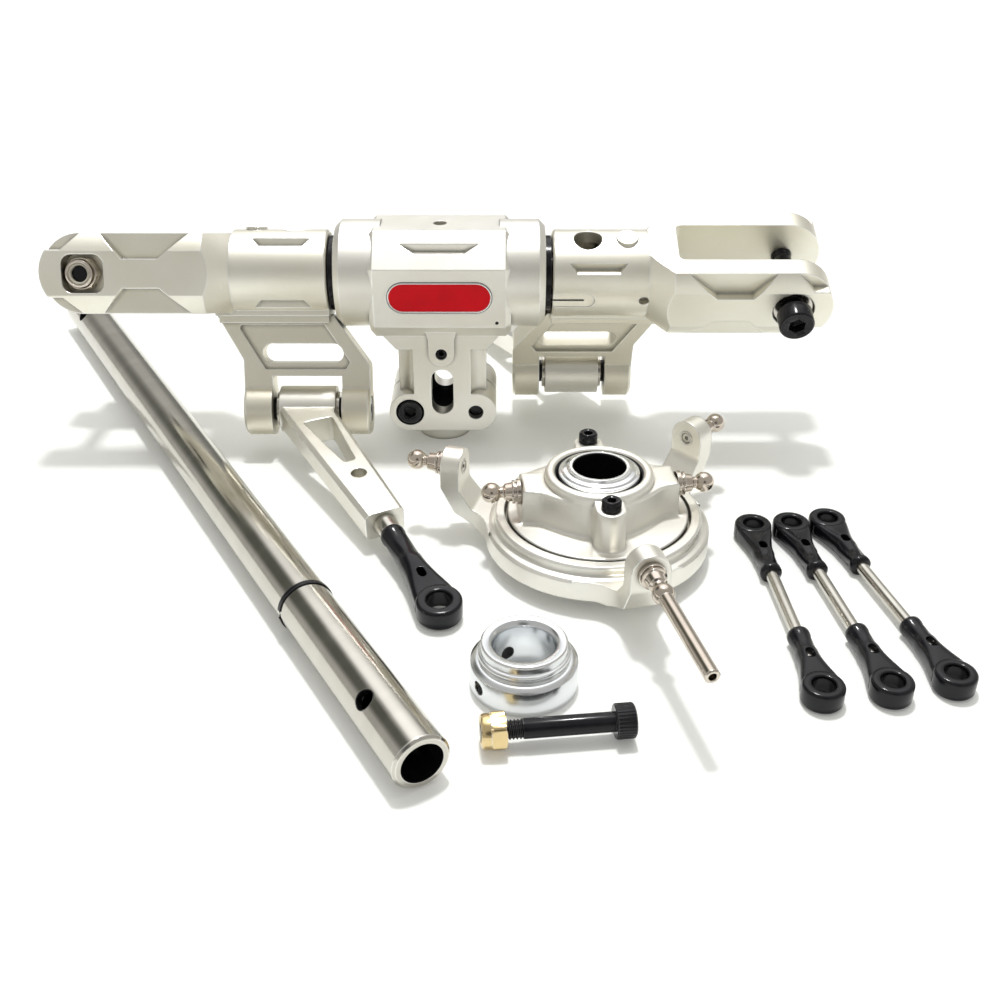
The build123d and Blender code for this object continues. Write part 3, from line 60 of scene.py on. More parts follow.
class FinishSettings(bpy.types.PropertyGroup):
    """Colours and surface values of the metals and plastics."""

    aluminium: bpy.props.FloatVectorProperty(
        name="Anodised Aluminium",
        description="Colour of the bead-blasted aluminium",
        subtype="COLOR",
        size=3,
        min=0.0,
        max=1.0,
        default=(0.87, 0.855, 0.80),
    )
    # Bright edge colour: partly bare cut metal, partly a painted highlight along the edges
    cut_metal_and_highlight: bpy.props.FloatVectorProperty(
        name="Cut Edges",
        description="Colour of the aluminium where a chamfer was cut after blasting",
        subtype="COLOR",
        size=3,
        min=0.0,
        max=1.0,
        default=(0.96, 0.955, 0.93),
    )
    turned: bpy.props.FloatVectorProperty(
        name="Turned Aluminium",
        description="Colour of the bright collar",
        subtype="COLOR",
        size=3,
        min=0.0,
        max=1.0,
        default=(0.82, 0.84, 0.86),
    )
    steel: bpy.props.FloatVectorProperty(
        name="Ground Steel",
        description="Colour of the mast, the rods and the bearings",
        subtype="COLOR",
        size=3,
        min=0.0,
        max=1.0,
        default=(0.62, 0.595, 0.54),
    )
    nickel: bpy.props.FloatVectorProperty(
        name="Nickel",
        description="Colour of the plated link balls and locknuts",
        subtype="COLOR",
        size=3,
        min=0.0,
        max=1.0,
        default=(0.66, 0.58, 0.50),
    )
    black_oxide: bpy.props.FloatVectorProperty(
        name="Black Oxide",
        description="Colour of the blackened screws",
        subtype="COLOR",
        size=3,
        min=0.0,
        max=1.0,
        default=(0.006, 0.006, 0.008),
    )
    link_plastic: bpy.props.FloatVectorProperty(
        name="Link Plastic",
        description="Colour of the moulded ball links",
        subtype="COLOR",
        size=3,
        min=0.0,
        max=1.0,
        default=(0.005, 0.005, 0.007),
    )
    plate_red: bpy.props.FloatVectorProperty(
        name="Plate Red",
        description="Colour of the enamelled field of the label plate",
        subtype="COLOR",
        size=3,
        min=0.0,
        max=1.0,
        default=(0.84, 0.0, 0.01),
    )
    brass: bpy.props.FloatVectorProperty(
        name="Brass",
        description="Colour of the mast bolt's nut",
        subtype="COLOR",
        size=3,
        min=0.0,
        max=1.0,
        default=(0.82, 0.64, 0.34),
    )
    edge_width: bpy.props.FloatProperty(
        name="Edge Width",
        description="Width of the bright line along a machined edge",
        subtype="DISTANCE",
        unit="LENGTH",
        min=0.0,
        default=0.42 * MM,
    )


class StageSettings(bpy.types.PropertyGroup):
    """Table, lamp, backdrop and camera."""

    floor_colour: bpy.props.FloatVectorProperty(
        name="Table Colour",
        description="Colour of the table and the backdrop",
        subtype="COLOR",
        size=3,
        min=0.0,
        max=1.0,
        default=(0.90, 0.91, 0.885),
    )
    key_power: bpy.props.FloatProperty(
        name="Key Lamp",
        description="Power of the lamp above the set, which casts the shadows",
        unit="POWER",
        min=0.0,
        default=3.9,
    )
    backdrop_light: bpy.props.FloatProperty(
        name="Backdrop Light",
        description="Brightness of the pale backdrop behind the set, as the metals reflect it",
        min=0.0,
        default=1.75,
    )
    room_light: bpy.props.FloatProperty(
        name="Room Light",
        description="Brightness of the rest of the room",
        min=0.0,
        default=0.48,
    )
    table_glow: bpy.props.FloatProperty(
        name="Table Lift",
        description="What is added to the table's brightness where it is seen or reflected",
        min=0.0,
        default=0.11,
    )
    camera_height: bpy.props.FloatProperty(
        name="Camera Height",
        description="Height of the camera above the table",
        subtype="DISTANCE",
        unit="LENGTH",
        default=160 * MM,
    )
    camera_pitch: bpy.props.FloatProperty(
        name="Camera Pitch",
        description="Angle by which the camera looks down",
        subtype="ANGLE",
        unit="ROTATION",
        default=math.radians(31.2),
    )
    lens: bpy.props.FloatProperty(
        name="Lens",
        description="Focal length of the camera in millimetres",
        min=1.0,
        default=43.2,
    )


# Shader node helpers


class Graph:
    """A small helper that adds nodes to a tree and links them."""

    def __init__(self, tree):
        self.tree = tree

    def add(self, kind, inputs=None, **settings):
        """A new node, with its settings made and its inputs fed."""
        node = self.tree.nodes.new(kind)
        for name, value in settings.items():
            setattr(node, name, value)
        for name, value in (inputs or {}).items():
            self.feed(node.inputs[name], value)
        return node

    def feed(self, socket, value):
        """Links a socket to another one, or gives it a plain value."""
        if isinstance(value, bpy.types.NodeSocket):
            self.tree.links.new(value, socket)
        else:
            socket.default_value = value

    def math(self, operation, first, second, clamp=False):
        node = self.add("ShaderNodeMath", {0: first, 1: second}, operation=operation, use_clamp=clamp)
        return node.outputs[0]

    def vector(self, operation, *vectors):
        return self.add("ShaderNodeVectorMath", dict(enumerate(vectors)), operation=operation).outputs

    def noise(self, vector, scale, detail, distortion=0.0):
        inputs = {"Vector": vector, "Scale": scale, "Detail": detail, "Distortion": distortion}
        return self.add("ShaderNodeTexNoise", inputs).outputs["Fac"]

    def place(self, kind="Object"):
        return self.add("ShaderNodeTexCoord").outputs[kind]

    def span(self, value, low, high, new_low=0.0, new_high=1.0):
        """A value whose low and high are carried to 0 and 1, or to the new ones."""
        node = self.add(
            "ShaderNodeMapRange",
            {"Value": value, "From Min": low, "From Max": high, "To Min": new_low, "To Max": new_high},
        )
        return node.outputs["Result"]

    def mix(self, factor, first, second):
        node = self.add("ShaderNodeMix", data_type="RGBA")
        self.feed(node.inputs[0], factor)
        self.feed(node.inputs[6], first)
        self.feed(node.inputs[7], second)
        return node.outputs[2]


def rgba(colour, shade=(1.0, 1.0, 1.0)):
    """An opaque colour for a socket, with each channel scaled by its shade."""
    return (*(channel * part for channel, part in zip(colour, shade)), 1.0)


def new_group(name, inputs, outputs):
    """A shader node group with its sockets made, and the graph to fill it."""
    tree = bpy.data.node_groups.new(name, "ShaderNodeTree")
    kinds = {"value": "NodeSocketFloat", "vector": "NodeSocketVector"}
    for socket, kind, default in inputs:
        item = tree.interface.new_socket(name=socket, in_out="INPUT", socket_type=kinds[kind])
        item.default_value = default
    for socket, kind in outputs:
        tree.interface.new_socket(name=socket, in_out="OUTPUT", socket_type=kinds[kind])
    graph = Graph(tree)
    entry = graph.add("NodeGroupInput")
    leave = graph.add("NodeGroupOutput")
    return tree, graph, entry.outputs, leave.inputs


def edge_group():
    """The sharp edges: a mask, 1 along an edge and 0 on the faces, and the normal of a rounded edge."""
    tree, graph, entry, leave = new_group(
        "Sharp edges",
        [("Width", "value", 0.0003), ("Patchiness", "value", 0.25)],
        [("Mask", "value"), ("Normal", "vector")],
    )
    rounded = graph.add("ShaderNodeBevel", {"Radius": entry["Width"]}, samples=6)
    flat = graph.add("ShaderNodeNewGeometry")
    likeness = graph.vector("DOT_PRODUCT", rounded.outputs["Normal"], flat.outputs["Normal"])["Value"]
    bend = graph.span(likeness, 0.998, 0.975)
    patches = graph.span(graph.noise(graph.place(), 260.0, 3.0), 0.25, 0.6)
    kept = graph.math("MULTIPLY", patches, entry["Patchiness"])
    held = graph.math("SUBTRACT", 1.0, entry["Patchiness"])
    graph.feed(leave["Mask"], graph.math("MULTIPLY", bend, graph.math("ADD", held, kept), clamp=True))
    graph.feed(leave["Normal"], rounded.outputs["Normal"])
    return tree


def blast_group():
    """Fine even grain of a blasted or cast surface, with faint clouds."""
    tree, graph, entry, leave = new_group(
        "Blasted grain",
        [("Grain Scale", "value", 5200.0), ("Cloud Scale", "value", 55.0), ("Offset", "vector", (0.0, 0.0, 0.0))],
        [("Height", "value"), ("Cloud", "value"), ("Speckle", "value")],
    )
    where = graph.vector("ADD", graph.place(), entry["Offset"])["Vector"]
    pits = graph.add("ShaderNodeTexVoronoi", {"Vector": where, "Scale": entry["Grain Scale"]})
    graph.feed(leave["Height"], graph.noise(where, entry["Grain Scale"], 2.0))
    graph.feed(leave["Cloud"], graph.span(graph.noise(where, entry["Cloud Scale"], 5.0), 0.3, 0.7))
    graph.feed(leave["Speckle"], graph.span(pits.outputs["Distance"], 0.1, 0.6))
    return tree


def crevice_shade_group():
    """How much a point is shut in by a corner, seam or hole, from 0 on open faces to 1, for painted shade."""
    tree, graph, entry, leave = new_group("Crevice shade", [("Reach", "value", 0.0008)], [("Depth", "value")])
    shade = graph.add("ShaderNodeAmbientOcclusion", {"Distance": entry["Reach"]}, samples=6)
    graph.feed(leave["Depth"], graph.span(shade.outputs["AO"], 0.30, 0.90, 1.0, 0.0))
    return tree


def lathe_group():
    """Fine rings and lines left by turning or grinding round an axis."""
    tree, graph, entry, leave = new_group(
        "Turning lines",
        [
            ("Centre", "vector", (0.0, 0.0, 0.0)),
            ("Axis", "vector", (0.0, 0.0, 1.0)),
            ("Line Scale", "value", 3000.0),
        ],
        [("Height", "value"), ("Streak", "value"), ("Radius", "value"), ("Along", "value")],
    )
    away = graph.vector("SUBTRACT", graph.place(), entry["Centre"])["Vector"]
    along = graph.vector("DOT_PRODUCT", away, entry["Axis"])["Value"]
    across = graph.vector("CROSS_PRODUCT", away, entry["Axis"])["Vector"]
    radius = graph.vector("LENGTH", across)["Value"]
    pair = graph.add("ShaderNodeCombineXYZ", {"X": along, "Y": radius}).outputs["Vector"]
    wide = graph.math("MULTIPLY", entry["Line Scale"], 0.08)
    graph.feed(leave["Height"], graph.noise(pair, entry["Line Scale"], 3.0))
    graph.feed(leave["Streak"], graph.span(graph.noise(pair, wide, 2.0), 0.3, 0.7))
    graph.feed(leave["Radius"], radius)
    graph.feed(leave["Along"], along)
    return tree


def marks_group():
    """Faint fingerprints and smudges that change the gloss."""
    tree, graph, entry, leave = new_group(
        "Handling marks",
        [("Scale", "value", 90.0), ("Amount", "value", 0.5)],
        [("Smudge", "value")],
    )
    soft = graph.span(graph.noise(graph.place(), entry["Scale"], 6.0, 0.8), 0.4, 0.75)
    graph.feed(leave["Smudge"], graph.math("MULTIPLY", soft, entry["Amount"]))
    return tree


GROUP_MAKERS = {
    "Sharp edges": edge_group,
    "Crevice shade": crevice_shade_group,
    "Blasted grain": blast_group,
    "Turning lines": lathe_group,
    "Handling marks": marks_group,
}


class Surface(Graph):
    """A material with one Principled shader, whose sockets are fed by name."""

    def __init__(self, name, **constants):
        self.material = bpy.data.materials.new(name)
        self.material.use_nodes = True
        super().__init__(self.material.node_tree)
        self.tree.nodes.clear()
        self.shader = self.add("ShaderNodeBsdfPrincipled")
        out = self.add("ShaderNodeOutputMaterial")
        self.tree.links.new(self.shader.outputs["BSDF"], out.inputs["Surface"])
        for socket, value in constants.items():
            self.shader.inputs[socket.replace("_", " ")].default_value = value

    def group(self, name, **inputs):
        tree = bpy.data.node_groups.get(name) or GROUP_MAKERS[name]()
        node = self.add("ShaderNodeGroup", node_tree=tree)
        for socket, value in inputs.items():
            self.feed(node.inputs[socket.replace("_", " ")], value)
        return node.outputs

    def drive(self, socket, value):
        self.feed(self.shader.inputs[socket], value)

    def bump(self, height, distance, strength, base=None):
        node = self.add("ShaderNodeBump", {"Height": height, "Strength": strength, "Distance": distance})
        if base is not None:
            self.feed(node.inputs["Normal"], base)
        self.drive("Normal", node.outputs["Normal"])

    def inside(self, bore):
        """1 inside a bore given by a point of its axis, the axis, its radius and its end in millimetres."""
        centre, axis, radius, end = bore
        lines = self.group("Turning lines", Centre=centre, Axis=axis)
        near = self.span(lines["Radius"], radius * MM, (radius + 0.06) * MM, 1.0, 0.0)
        return self.math("MULTIPLY", near, self.span(lines["Along"], end * MM, (end + 1.0) * MM, 1.0, 0.0))


# Materials: the painted shade that they darken to in corners and bores, and one function for each finish

CREVICE_SHADE = (0.10, 0.09, 0.065, 1.0)
BLASTED_BORE_SHADE = (0.012, 0.011, 0.012, 1.0)
TURNED_BORE_SHADE = (0.010, 0.009, 0.010, 1.0)


def settings():
    """The colours and surface values that the user can change."""
    return bpy.context.scene.rotor_finish


def made_once(maker):
    """Has a finish made only where there is none under its name yet."""

    @functools.wraps(maker)
    def find(name, *values, **named):
        return bpy.data.materials.get(name) or maker(name, *values, **named)

    return find


@made_once
def blasted_aluminium(name, roughness=0.44, offset=(0.0, 0.0, 0.0), bore=None, tint=(1.0, 1.0, 1.0)):
    """Bead-blasted anodised aluminium: bright edges of cut metal and painted highlight, and any given bore painted as
    shade.
    """
    look = settings()
    surface = Surface(name)
    edge = surface.group("Sharp edges", Width=look.edge_width, Patchiness=0.25)
    grain = surface.group("Blasted grain", Grain_Scale=4200.0, Cloud_Scale=48.0, Offset=offset)
    smudge = surface.group("Handling marks", Scale=70.0, Amount=0.6)["Smudge"]
    body = rgba(look.aluminium, tint)
    dull = rgba(body, (0.92, 0.905, 0.86))
    toned = surface.mix(grain["Cloud"], dull, body)
    flecked = surface.mix(surface.math("MULTIPLY", grain["Speckle"], 0.22), toned, rgba(look.cut_metal_and_highlight))
    # Painted highlight, partly real cut chamfers: the edges take the bright cut-metal colour
    colour = surface.mix(edge["Mask"], flecked, rgba(look.cut_metal_and_highlight))
    # Painted shade: where a point is shut in by a seam or corner, the colour darkens towards the crevice shade
    depth = surface.group("Crevice shade", Reach=1.3 * MM)["Depth"]
    colour = surface.mix(surface.math("MULTIPLY", depth, 0.85), colour, CREVICE_SHADE)
    rough = surface.math("ADD", roughness, surface.math("MULTIPLY", smudge, 0.09))
    rough = surface.math("SUBTRACT", rough, surface.math("MULTIPLY", edge["Mask"], 0.16))
    metal = 1.0
    # A given bore is painted dark as shade and made less metallic
    if bore:
        dark = surface.inside(bore)
        colour = surface.mix(dark, colour, BLASTED_BORE_SHADE)
        metal = surface.math("SUBTRACT", 1.0, dark)
    surface.drive("Base Color", colour)
    surface.drive("Metallic", metal)
    surface.drive("Roughness", rough)
    surface.bump(grain["Height"], 0.025 * MM, 0.6, edge["Normal"])
    return surface.material


@made_once
def turned_metal(name, colour, roughness, centre, axis, line_scale=2600.0, depth=0.006, bores=()):
    """A turned, ground or drawn metal with fine lines round its axis and, where they are given, bores painted dark as
    shade.
    """
    look = settings()
    surface = Surface(name)
    lines = surface.group("Turning lines", Centre=centre, Axis=axis, Line_Scale=line_scale)
    edge = surface.group("Sharp edges", Width=look.edge_width, Patchiness=0.2)
    smudge = surface.group("Handling marks", Scale=110.0, Amount=0.5)["Smudge"]
    dull = rgba(colour, [0.88] * 3)
    toned = surface.mix(lines["Streak"], dull, rgba(colour))
    # Painted highlight, partly bare metal: the edges lighten towards the cut-metal colour
    tone = surface.mix(surface.math("MULTIPLY", edge["Mask"], 0.6), toned, rgba(look.cut_metal_and_highlight))
    metal = 1.0
    # Each bore is painted dark as shade and made less metallic
    for bore in bores:
        dark = surface.inside(bore)
        tone = surface.mix(dark, tone, TURNED_BORE_SHADE)
        metal = surface.math("SUBTRACT", metal, surface.math("MULTIPLY", dark, 0.8), clamp=True)
    surface.drive("Base Color", tone)
    surface.drive("Metallic", metal)
    rough = surface.math("ADD", roughness, surface.math("MULTIPLY", lines["Streak"], 0.05))
    surface.drive("Roughness", surface.math("ADD", rough, surface.math("MULTIPLY", smudge, 0.08)))
    surface.bump(lines["Height"], depth * MM, 0.5, edge["Normal"])
    return surface.material


@made_once
def plated_metal(name, colour, roughness):
    """A polished, plated metal with slight smudges."""
    look = settings()
    surface = Surface(name, Metallic=1.0)
    grain = surface.group("Blasted grain", Grain_Scale=1500.0, Cloud_Scale=160.0)
    edge = surface.group("Sharp edges", Width=0.20 * MM, Patchiness=0.3)
    smudge = surface.group("Handling marks", Scale=260.0, Amount=0.6)["Smudge"]
    dull = rgba(colour, [0.82] * 3)
    toned = surface.mix(grain["Cloud"], dull, rgba(colour))
    # Painted highlight, partly wear: the edges lighten towards the cut-metal colour
    edge_wear_and_highlight = surface.math("MULTIPLY", edge["Mask"], 0.6)
    surface.drive("Base Color", surface.mix(edge_wear_and_highlight, toned, rgba(look.cut_metal_and_highlight)))
    surface.drive("Roughness", surface.math("ADD", roughness, surface.math("MULTIPLY", smudge, 0.08)))
    surface.bump(grain["Height"], 0.004 * MM, 0.5, edge["Normal"])
    return surface.material


@made_once
def black_oxide(name):
    """Blackened, oiled steel whose edges are lighter grey, partly from wear and partly a painted highlight."""
    look = settings()
    surface = Surface(name, Specular_IOR_Level=0.24)
    grain = surface.group("Blasted grain", Grain_Scale=3000.0, Cloud_Scale=300.0)
    edge = surface.group("Sharp edges", Width=0.18 * MM, Patchiness=0.7)
    # Lighter grey edges: partly wear, partly a painted highlight
    edge_wear_and_highlight = surface.math("MULTIPLY", edge["Mask"], 0.30)
    tone = surface.mix(grain["Cloud"], rgba(look.black_oxide), (0.013, 0.012, 0.015, 1.0))
    surface.drive("Base Color", surface.mix(edge_wear_and_highlight, tone, (0.30, 0.29, 0.30, 1.0)))
    surface.drive("Metallic", surface.math("MULTIPLY", edge_wear_and_highlight, 0.6))
    surface.drive("Roughness", surface.span(grain["Cloud"], 0.0, 1.0, 0.13, 0.20))
    surface.bump(grain["Height"], 0.006 * MM, 0.5, edge["Normal"])
    return surface.material


@made_once
def moulded_nylon(name):
    """Black glass-filled nylon with a satin skin."""
    look = settings()
    surface = Surface(name, Specular_IOR_Level=0.30)
    grain = surface.group("Blasted grain", Grain_Scale=2600.0, Cloud_Scale=120.0)
    edge = surface.group("Sharp edges", Width=0.40 * MM, Patchiness=0.4)
    smudge = surface.group("Handling marks", Scale=140.0, Amount=0.8)["Smudge"]
    tone = surface.mix(grain["Cloud"], rgba(look.link_plastic), (0.009, 0.009, 0.012, 1.0))
    # Slightly lighter grey edges: partly wear, partly a painted highlight
    edge_wear_and_highlight = surface.math("MULTIPLY", edge["Mask"], 0.12)
    surface.drive("Base Color", surface.mix(edge_wear_and_highlight, tone, (0.10, 0.10, 0.11, 1.0)))
    surface.drive("Roughness", surface.math("ADD", 0.15, surface.math("MULTIPLY", smudge, 0.10)))
    surface.bump(grain["Height"], 0.010 * MM, 0.5, edge["Normal"])
    return surface.material


@made_once
def moulded_insert(name):
    """Pale nylon of a locknut's insert."""
    surface = Surface(name, Specular_IOR_Level=0.4)
    grain = surface.group("Blasted grain", Grain_Scale=2400.0, Cloud_Scale=240.0)
    surface.drive("Base Color", surface.mix(grain["Cloud"], (0.42, 0.39, 0.32, 1.0), (0.58, 0.55, 0.46, 1.0)))
    surface.drive("Roughness", surface.span(grain["Cloud"], 0.0, 1.0, 0.38, 0.5))
    surface.bump(grain["Height"], 0.01 * MM, 0.5)
    return surface.material


@made_once
def rubber(name):
    """Soft black rubber of the dampers."""
    surface = Surface(name)
    grain = surface.group("Blasted grain", Grain_Scale=2000.0, Cloud_Scale=90.0)
    surface.drive("Base Color", surface.mix(grain["Cloud"], (0.02, 0.02, 0.02, 1.0), (0.04, 0.04, 0.04, 1.0)))
    surface.drive("Roughness", surface.span(grain["Cloud"], 0.0, 1.0, 0.6, 0.8))
    surface.bump(grain["Height"], 0.02 * MM, 0.6)
    return surface.material


@made_once
def red_enamel(name):
    """Glossy red enamel of the label plate."""
    look = settings()
    surface = Surface(name, Specular_IOR_Level=0.2)
    grain = surface.group("Blasted grain", Grain_Scale=3400.0, Cloud_Scale=120.0)
    smudge = surface.group("Handling marks", Scale=180.0, Amount=0.6)["Smudge"]
    deep = rgba(look.plate_red, [0.80] * 3)
    surface.drive("Base Color", surface.mix(grain["Cloud"], deep, rgba(look.plate_red)))
    surface.drive("Roughness", surface.math("ADD", 0.30, surface.math("MULTIPLY", smudge, 0.15)))
    surface.bump(grain["Height"], 0.01 * MM, 0.5)
    return surface.material


# Mesh helpers


def paint(material, *names):
    """Gives CAD nodes a material in every one of their slots."""
    for name in names:
        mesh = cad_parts[name].data
        mesh.materials.clear()
        mesh.materials.append(material)


def placed(at, *turns):
    """A place in the frame, in millimetres, with turns given as (degrees, axis) in order."""
    matrix = Matrix.Translation(Vector(at) * MM)
    for degrees, axis in turns:
        matrix = matrix @ Matrix.Rotation(math.radians(degrees), 4, axis)
    return matrix


def section(radius, height, flats=0.0, teeth=0, groove=0.0, count=96, turn=0.0):
    """An outline round Z at one height: a circle that is kept inside a hexagon or cut with teeth."""
    points = []
    for step in range(count):
        angle = 2 * math.pi * step / count
        reach = radius
        if flats:
            across = (angle - turn + math.pi / 6) % (math.pi / 3) - math.pi / 6
            reach = min(radius, flats / 2 / math.cos(across))
        if teeth:
            reach -= groove * abs(2 * ((teeth * angle / (2 * math.pi)) % 1.0) - 1.0)
        points.append((reach * math.cos(angle), reach * math.sin(angle), height))
    return points


def thread(radius, start, end, pitch, count):
    """Outlines of a screw thread round Z, from one height to another."""
    rows = max(2, round(abs(end - start) / pitch * 6))
    outlines = []
    for row in range(rows + 1):
        height = start + (end - start) * row / rows
        fade = min(1.0, row / 3, (rows - row) / 3)
        outline = []
        for step in range(count):
            share = (step / count - height / pitch) % 1.0
            reach = radius - 0.55 * pitch * fade * abs(2 * share - 1)
            angle = 2 * math.pi * step / count
            outline.append((reach * math.cos(angle), reach * math.sin(angle), height))
        outlines.append(outline)
    return outlines


def stadium(length, width, height):
    """An outline with two straight sides and two round ends."""
    steps = 20
    points = []
    for side in (1, -1):
        for step in range(steps + 1):
            angle = math.pi * (step / steps - 0.5)
            along = side * ((length - width) / 2 + width / 2 * math.cos(angle))
            points.append((along, side * width / 2 * math.sin(angle), height))
    return points


class Piece:
    """A mesh built from closed outlines in millimetres and carried by a CAD body."""

    def __init__(self, name):
        self.name = name
        self.mesh = bmesh.new()
        self.materials = []

    def loft(self, outlines, material, place=Matrix.Identity(4), capped=(True, True), round_trip=False):
        """Joins outlines from one end to the other, or round to the first again."""
        if material not in self.materials:
            self.materials.append(material)
        slot = self.materials.index(material)
        rings = [[self.mesh.verts.new(place @ (Vector(point) * MM)) for point in outline] for outline in outlines]
        if round_trip:
            rings.append(rings[0])
        for low, high in zip(rings, rings[1:]):
            for step in range(len(low)):
                after = (step + 1) % len(low)
                self.mesh.faces.new((low[step], low[after], high[after], high[step])).material_index = slot
        for wanted, ring in zip(capped, (rings[0][::-1], rings[-1])):
            if wanted and not round_trip:
                self.mesh.faces.new(ring).material_index = slot

    def turn(self, profile, material, place=Matrix.Identity(4), **kind):
        """Turns (radius, height) points round Z. Where the profile closes on itself, the piece has a hole."""
        self.loft([section(radius, height) for radius, height in profile], material, place, **kind)

    def cap_screw(self, place, size, head, key, teeth=0, threaded=0.0):
        """A blackened socket cap screw along Z with the underside of its head at the origin.

        The size is its diameter and length, the head is its diameter and height, and the key is the width
        across the flats of its socket.
        """
        diameter, length = size
        head_diameter, head_height = head
        radius, outer, count = diameter / 2, head_diameter / 2, 192
        rim = {"teeth": teeth, "groove": 0.10, "count": count}
        plain = {"count": count}
        hexagon = {"flats": key, "count": count}
        outlines = [section(radius - 0.4, length, **plain), section(radius, length - 0.4, **plain)]
        if threaded:
            outlines += thread(radius, length - 0.5, length - threaded, 0.7, count)
        outlines += [
            section(radius, 0.0, **plain),
            section(outer - 0.25, 0.0, **plain),
            section(outer, -0.25, **rim),
            section(outer, 0.55 - head_height, **rim),
            section(outer - 0.12, 0.25 - head_height, **plain),
            section(outer - 0.45, -head_height, **plain),
            section(key / 2 + 0.55, -head_height, **plain),
            section(key, 0.25 - head_height, **hexagon),
            section(key, -0.42 * head_height, **hexagon),
            section(0.2, -0.30 * head_height, **plain),
        ]
        self.loft(outlines, black_oxide("Black oxide"), place)

    def solid(self):
        """The object that the outlines make."""
        bmesh.ops.recalc_face_normals(self.mesh, faces=self.mesh.faces)
        mesh = bpy.data.meshes.new(self.name)
        self.mesh.to_mesh(mesh)
        self.mesh.free()
        for material in self.materials:
            mesh.materials.append(material)
        item = bpy.data.objects.new(self.name, mesh)
        bpy.context.scene.collection.objects.link(item)
        return item

    def finish(self, body, replaces=(), smooth=32.0, holes=()):
        """Makes the object, drills it and hangs it on its body. A hole is its place, outline and length."""
        item = self.solid()
        drills = []
        for place, outline, length in holes:
            drill = Piece(f"{self.name}_drill")
            far = [(x, y, z + length) for x, y, z in outline]
            drill.loft([outline, far], self.materials[0], place)
            drills.append(drill.solid())
            cut = item.modifiers.new("Hole", "BOOLEAN")
            cut.operation = "DIFFERENCE"
            cut.solver = "EXACT"
            cut.object = drills[-1]
        if drills:
            shape = item.evaluated_get(bpy.context.evaluated_depsgraph_get())
            item.data = bpy.data.meshes.new_from_object(shape)
            item.modifiers.clear()
            for drill in drills:
                bpy.data.objects.remove(drill)
        item.data.shade_smooth()
        item.data.set_sharp_from_angle(angle=math.radians(smooth))
        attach(item, body)
        if replaces:
            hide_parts(*replaces)


# Places and sizes of the set, in millimetres and degrees
# The CAD model has the same, but for the distances and the turn of the mast's cross holes

X_AXIS = (1.0, 0.0, 0.0)
Z_AXIS = (0.0, 0.0, 1.0)
SIDE_TURNS = {"right": Matrix.Identity(4), "left": Matrix.Rotation(math.pi, 4, "Z")}

# Head and grips
SPINDLE_HEIGHT = 46.3
SPINDLE_CENTRE = (0.0, 0.0, SPINDLE_HEIGHT * MM)  # in metres, for the turning lines
GRIP_ANGLE = 19.5
RIGHT_GRIP = placed((0, 0, SPINDLE_HEIGHT), (GRIP_ANGLE, "X"))
CLAMP_SCREW_PLACE = placed((-9.0, -7.4, 10.3), (-90, "X"))
PLATE_PLACE = placed((0, -13.65, SPINDLE_HEIGHT - 1.6), (90, "X"))
BLADE_BOLT_X = 91.4
BLADE_BOLT_HEAD_Y = -16.2
BLADE_NUT_Y = 10.4

# Levers and their links
ARM_LENGTH = 36.3
PIN_X = 36.0
PIN_BACK = ARM_LENGTH * math.sin(math.radians(GRIP_ANGLE))
PIN_HEIGHT = SPINDLE_HEIGHT - ARM_LENGTH * math.cos(math.radians(GRIP_ANGLE))
LEVER_REACH = 88.2
LEVER_SLANT = 25.7
LEVER_EYE_HEIGHT = 3.25
LEVER_FORWARD = LEVER_REACH * math.cos(math.radians(LEVER_SLANT))
LEVER_INWARD = LEVER_REACH * math.sin(math.radians(LEVER_SLANT))
LEVER_FALL = math.degrees(math.asin((PIN_HEIGHT - LEVER_EYE_HEIGHT) / LEVER_FORWARD))
RIGHT_LEVER = placed((PIN_X, PIN_BACK, PIN_HEIGHT), (-LEVER_FALL, "X"))
RIGHT_EYE = RIGHT_LEVER @ placed((-LEVER_INWARD, LEVER_FORWARD, 0), (LEVER_SLANT, "Z"))

# Linkage rods: the length from eye to eye, then x and y of each far eye and the rod's turn
ROD_LENGTH = 60.3
ROD_HEIGHT = 2.5
RODS = ((77.0, -58.6, 3.1), (86.4, -57.8, 7.6), (95.6, -55.9, 11.8))

# Mast, collar and mast bolt
MAST_PLACE = placed((1.5, -143.0, 6.25), (-60, "Z"), (-90, "Y"))
MAST_HOLE_DISTANCES = (16.5, 233.5)
MAST_HOLE_TURN = -40.5
COLLAR_PLACE = (20.5, -112.6, 0.0)
COLLAR_SCREW_ANGLES = (213, 123)
COLLAR_SCREW_HEIGHT = 3.4
MAST_BOLT_PLACE = placed((11.8, -132.1, 4.0), (6.5, "Z"))
MAST_BOLT_LENGTH = 26.0

# Swashplate
SWASH_CENTRE = (38.6, -63.2, 0.0)
HORN_ANGLES = (44.4, 164.2, 283.0)
HORN_FACE = 37.5
HORN_INNER_FACE = 32.9
HORN_BALL = 44.7
HORN_BALL_HEIGHT = 18.0
GUIDE_PIN_END = 71.6
STAR_TURN = 5.8
STAR_PLACE = placed(SWASH_CENTRE, (STAR_TURN, "Z"))
STAR_FACE = 18.3
STAR_BALL = 25.1
STAR_BALL_HEIGHT = 17.3
STAR_ARM_HALF_WIDTH = 4.3
STAR_LUG_DISTANCE = 15.8
STAR_LUG_RADIUS = 3.5
STAR_LUG_TOP = 21.0
STAR_POINTS = 360

# Stage, in metres, but for the sensor in millimetres
TABLE_HALF_WIDTH = 3.0
LAMP_PLACE = (0.02, 0.11, 0.80)
LAMP_TARGET = (0.02, -0.04, 0.0)
LAMP_SIZE = 0.07
CAMERA_X = 15.6 * MM
CAMERA_Y = -304.5 * MM
SENSOR_WIDTH = 36.0


# Small fittings that several pieces share


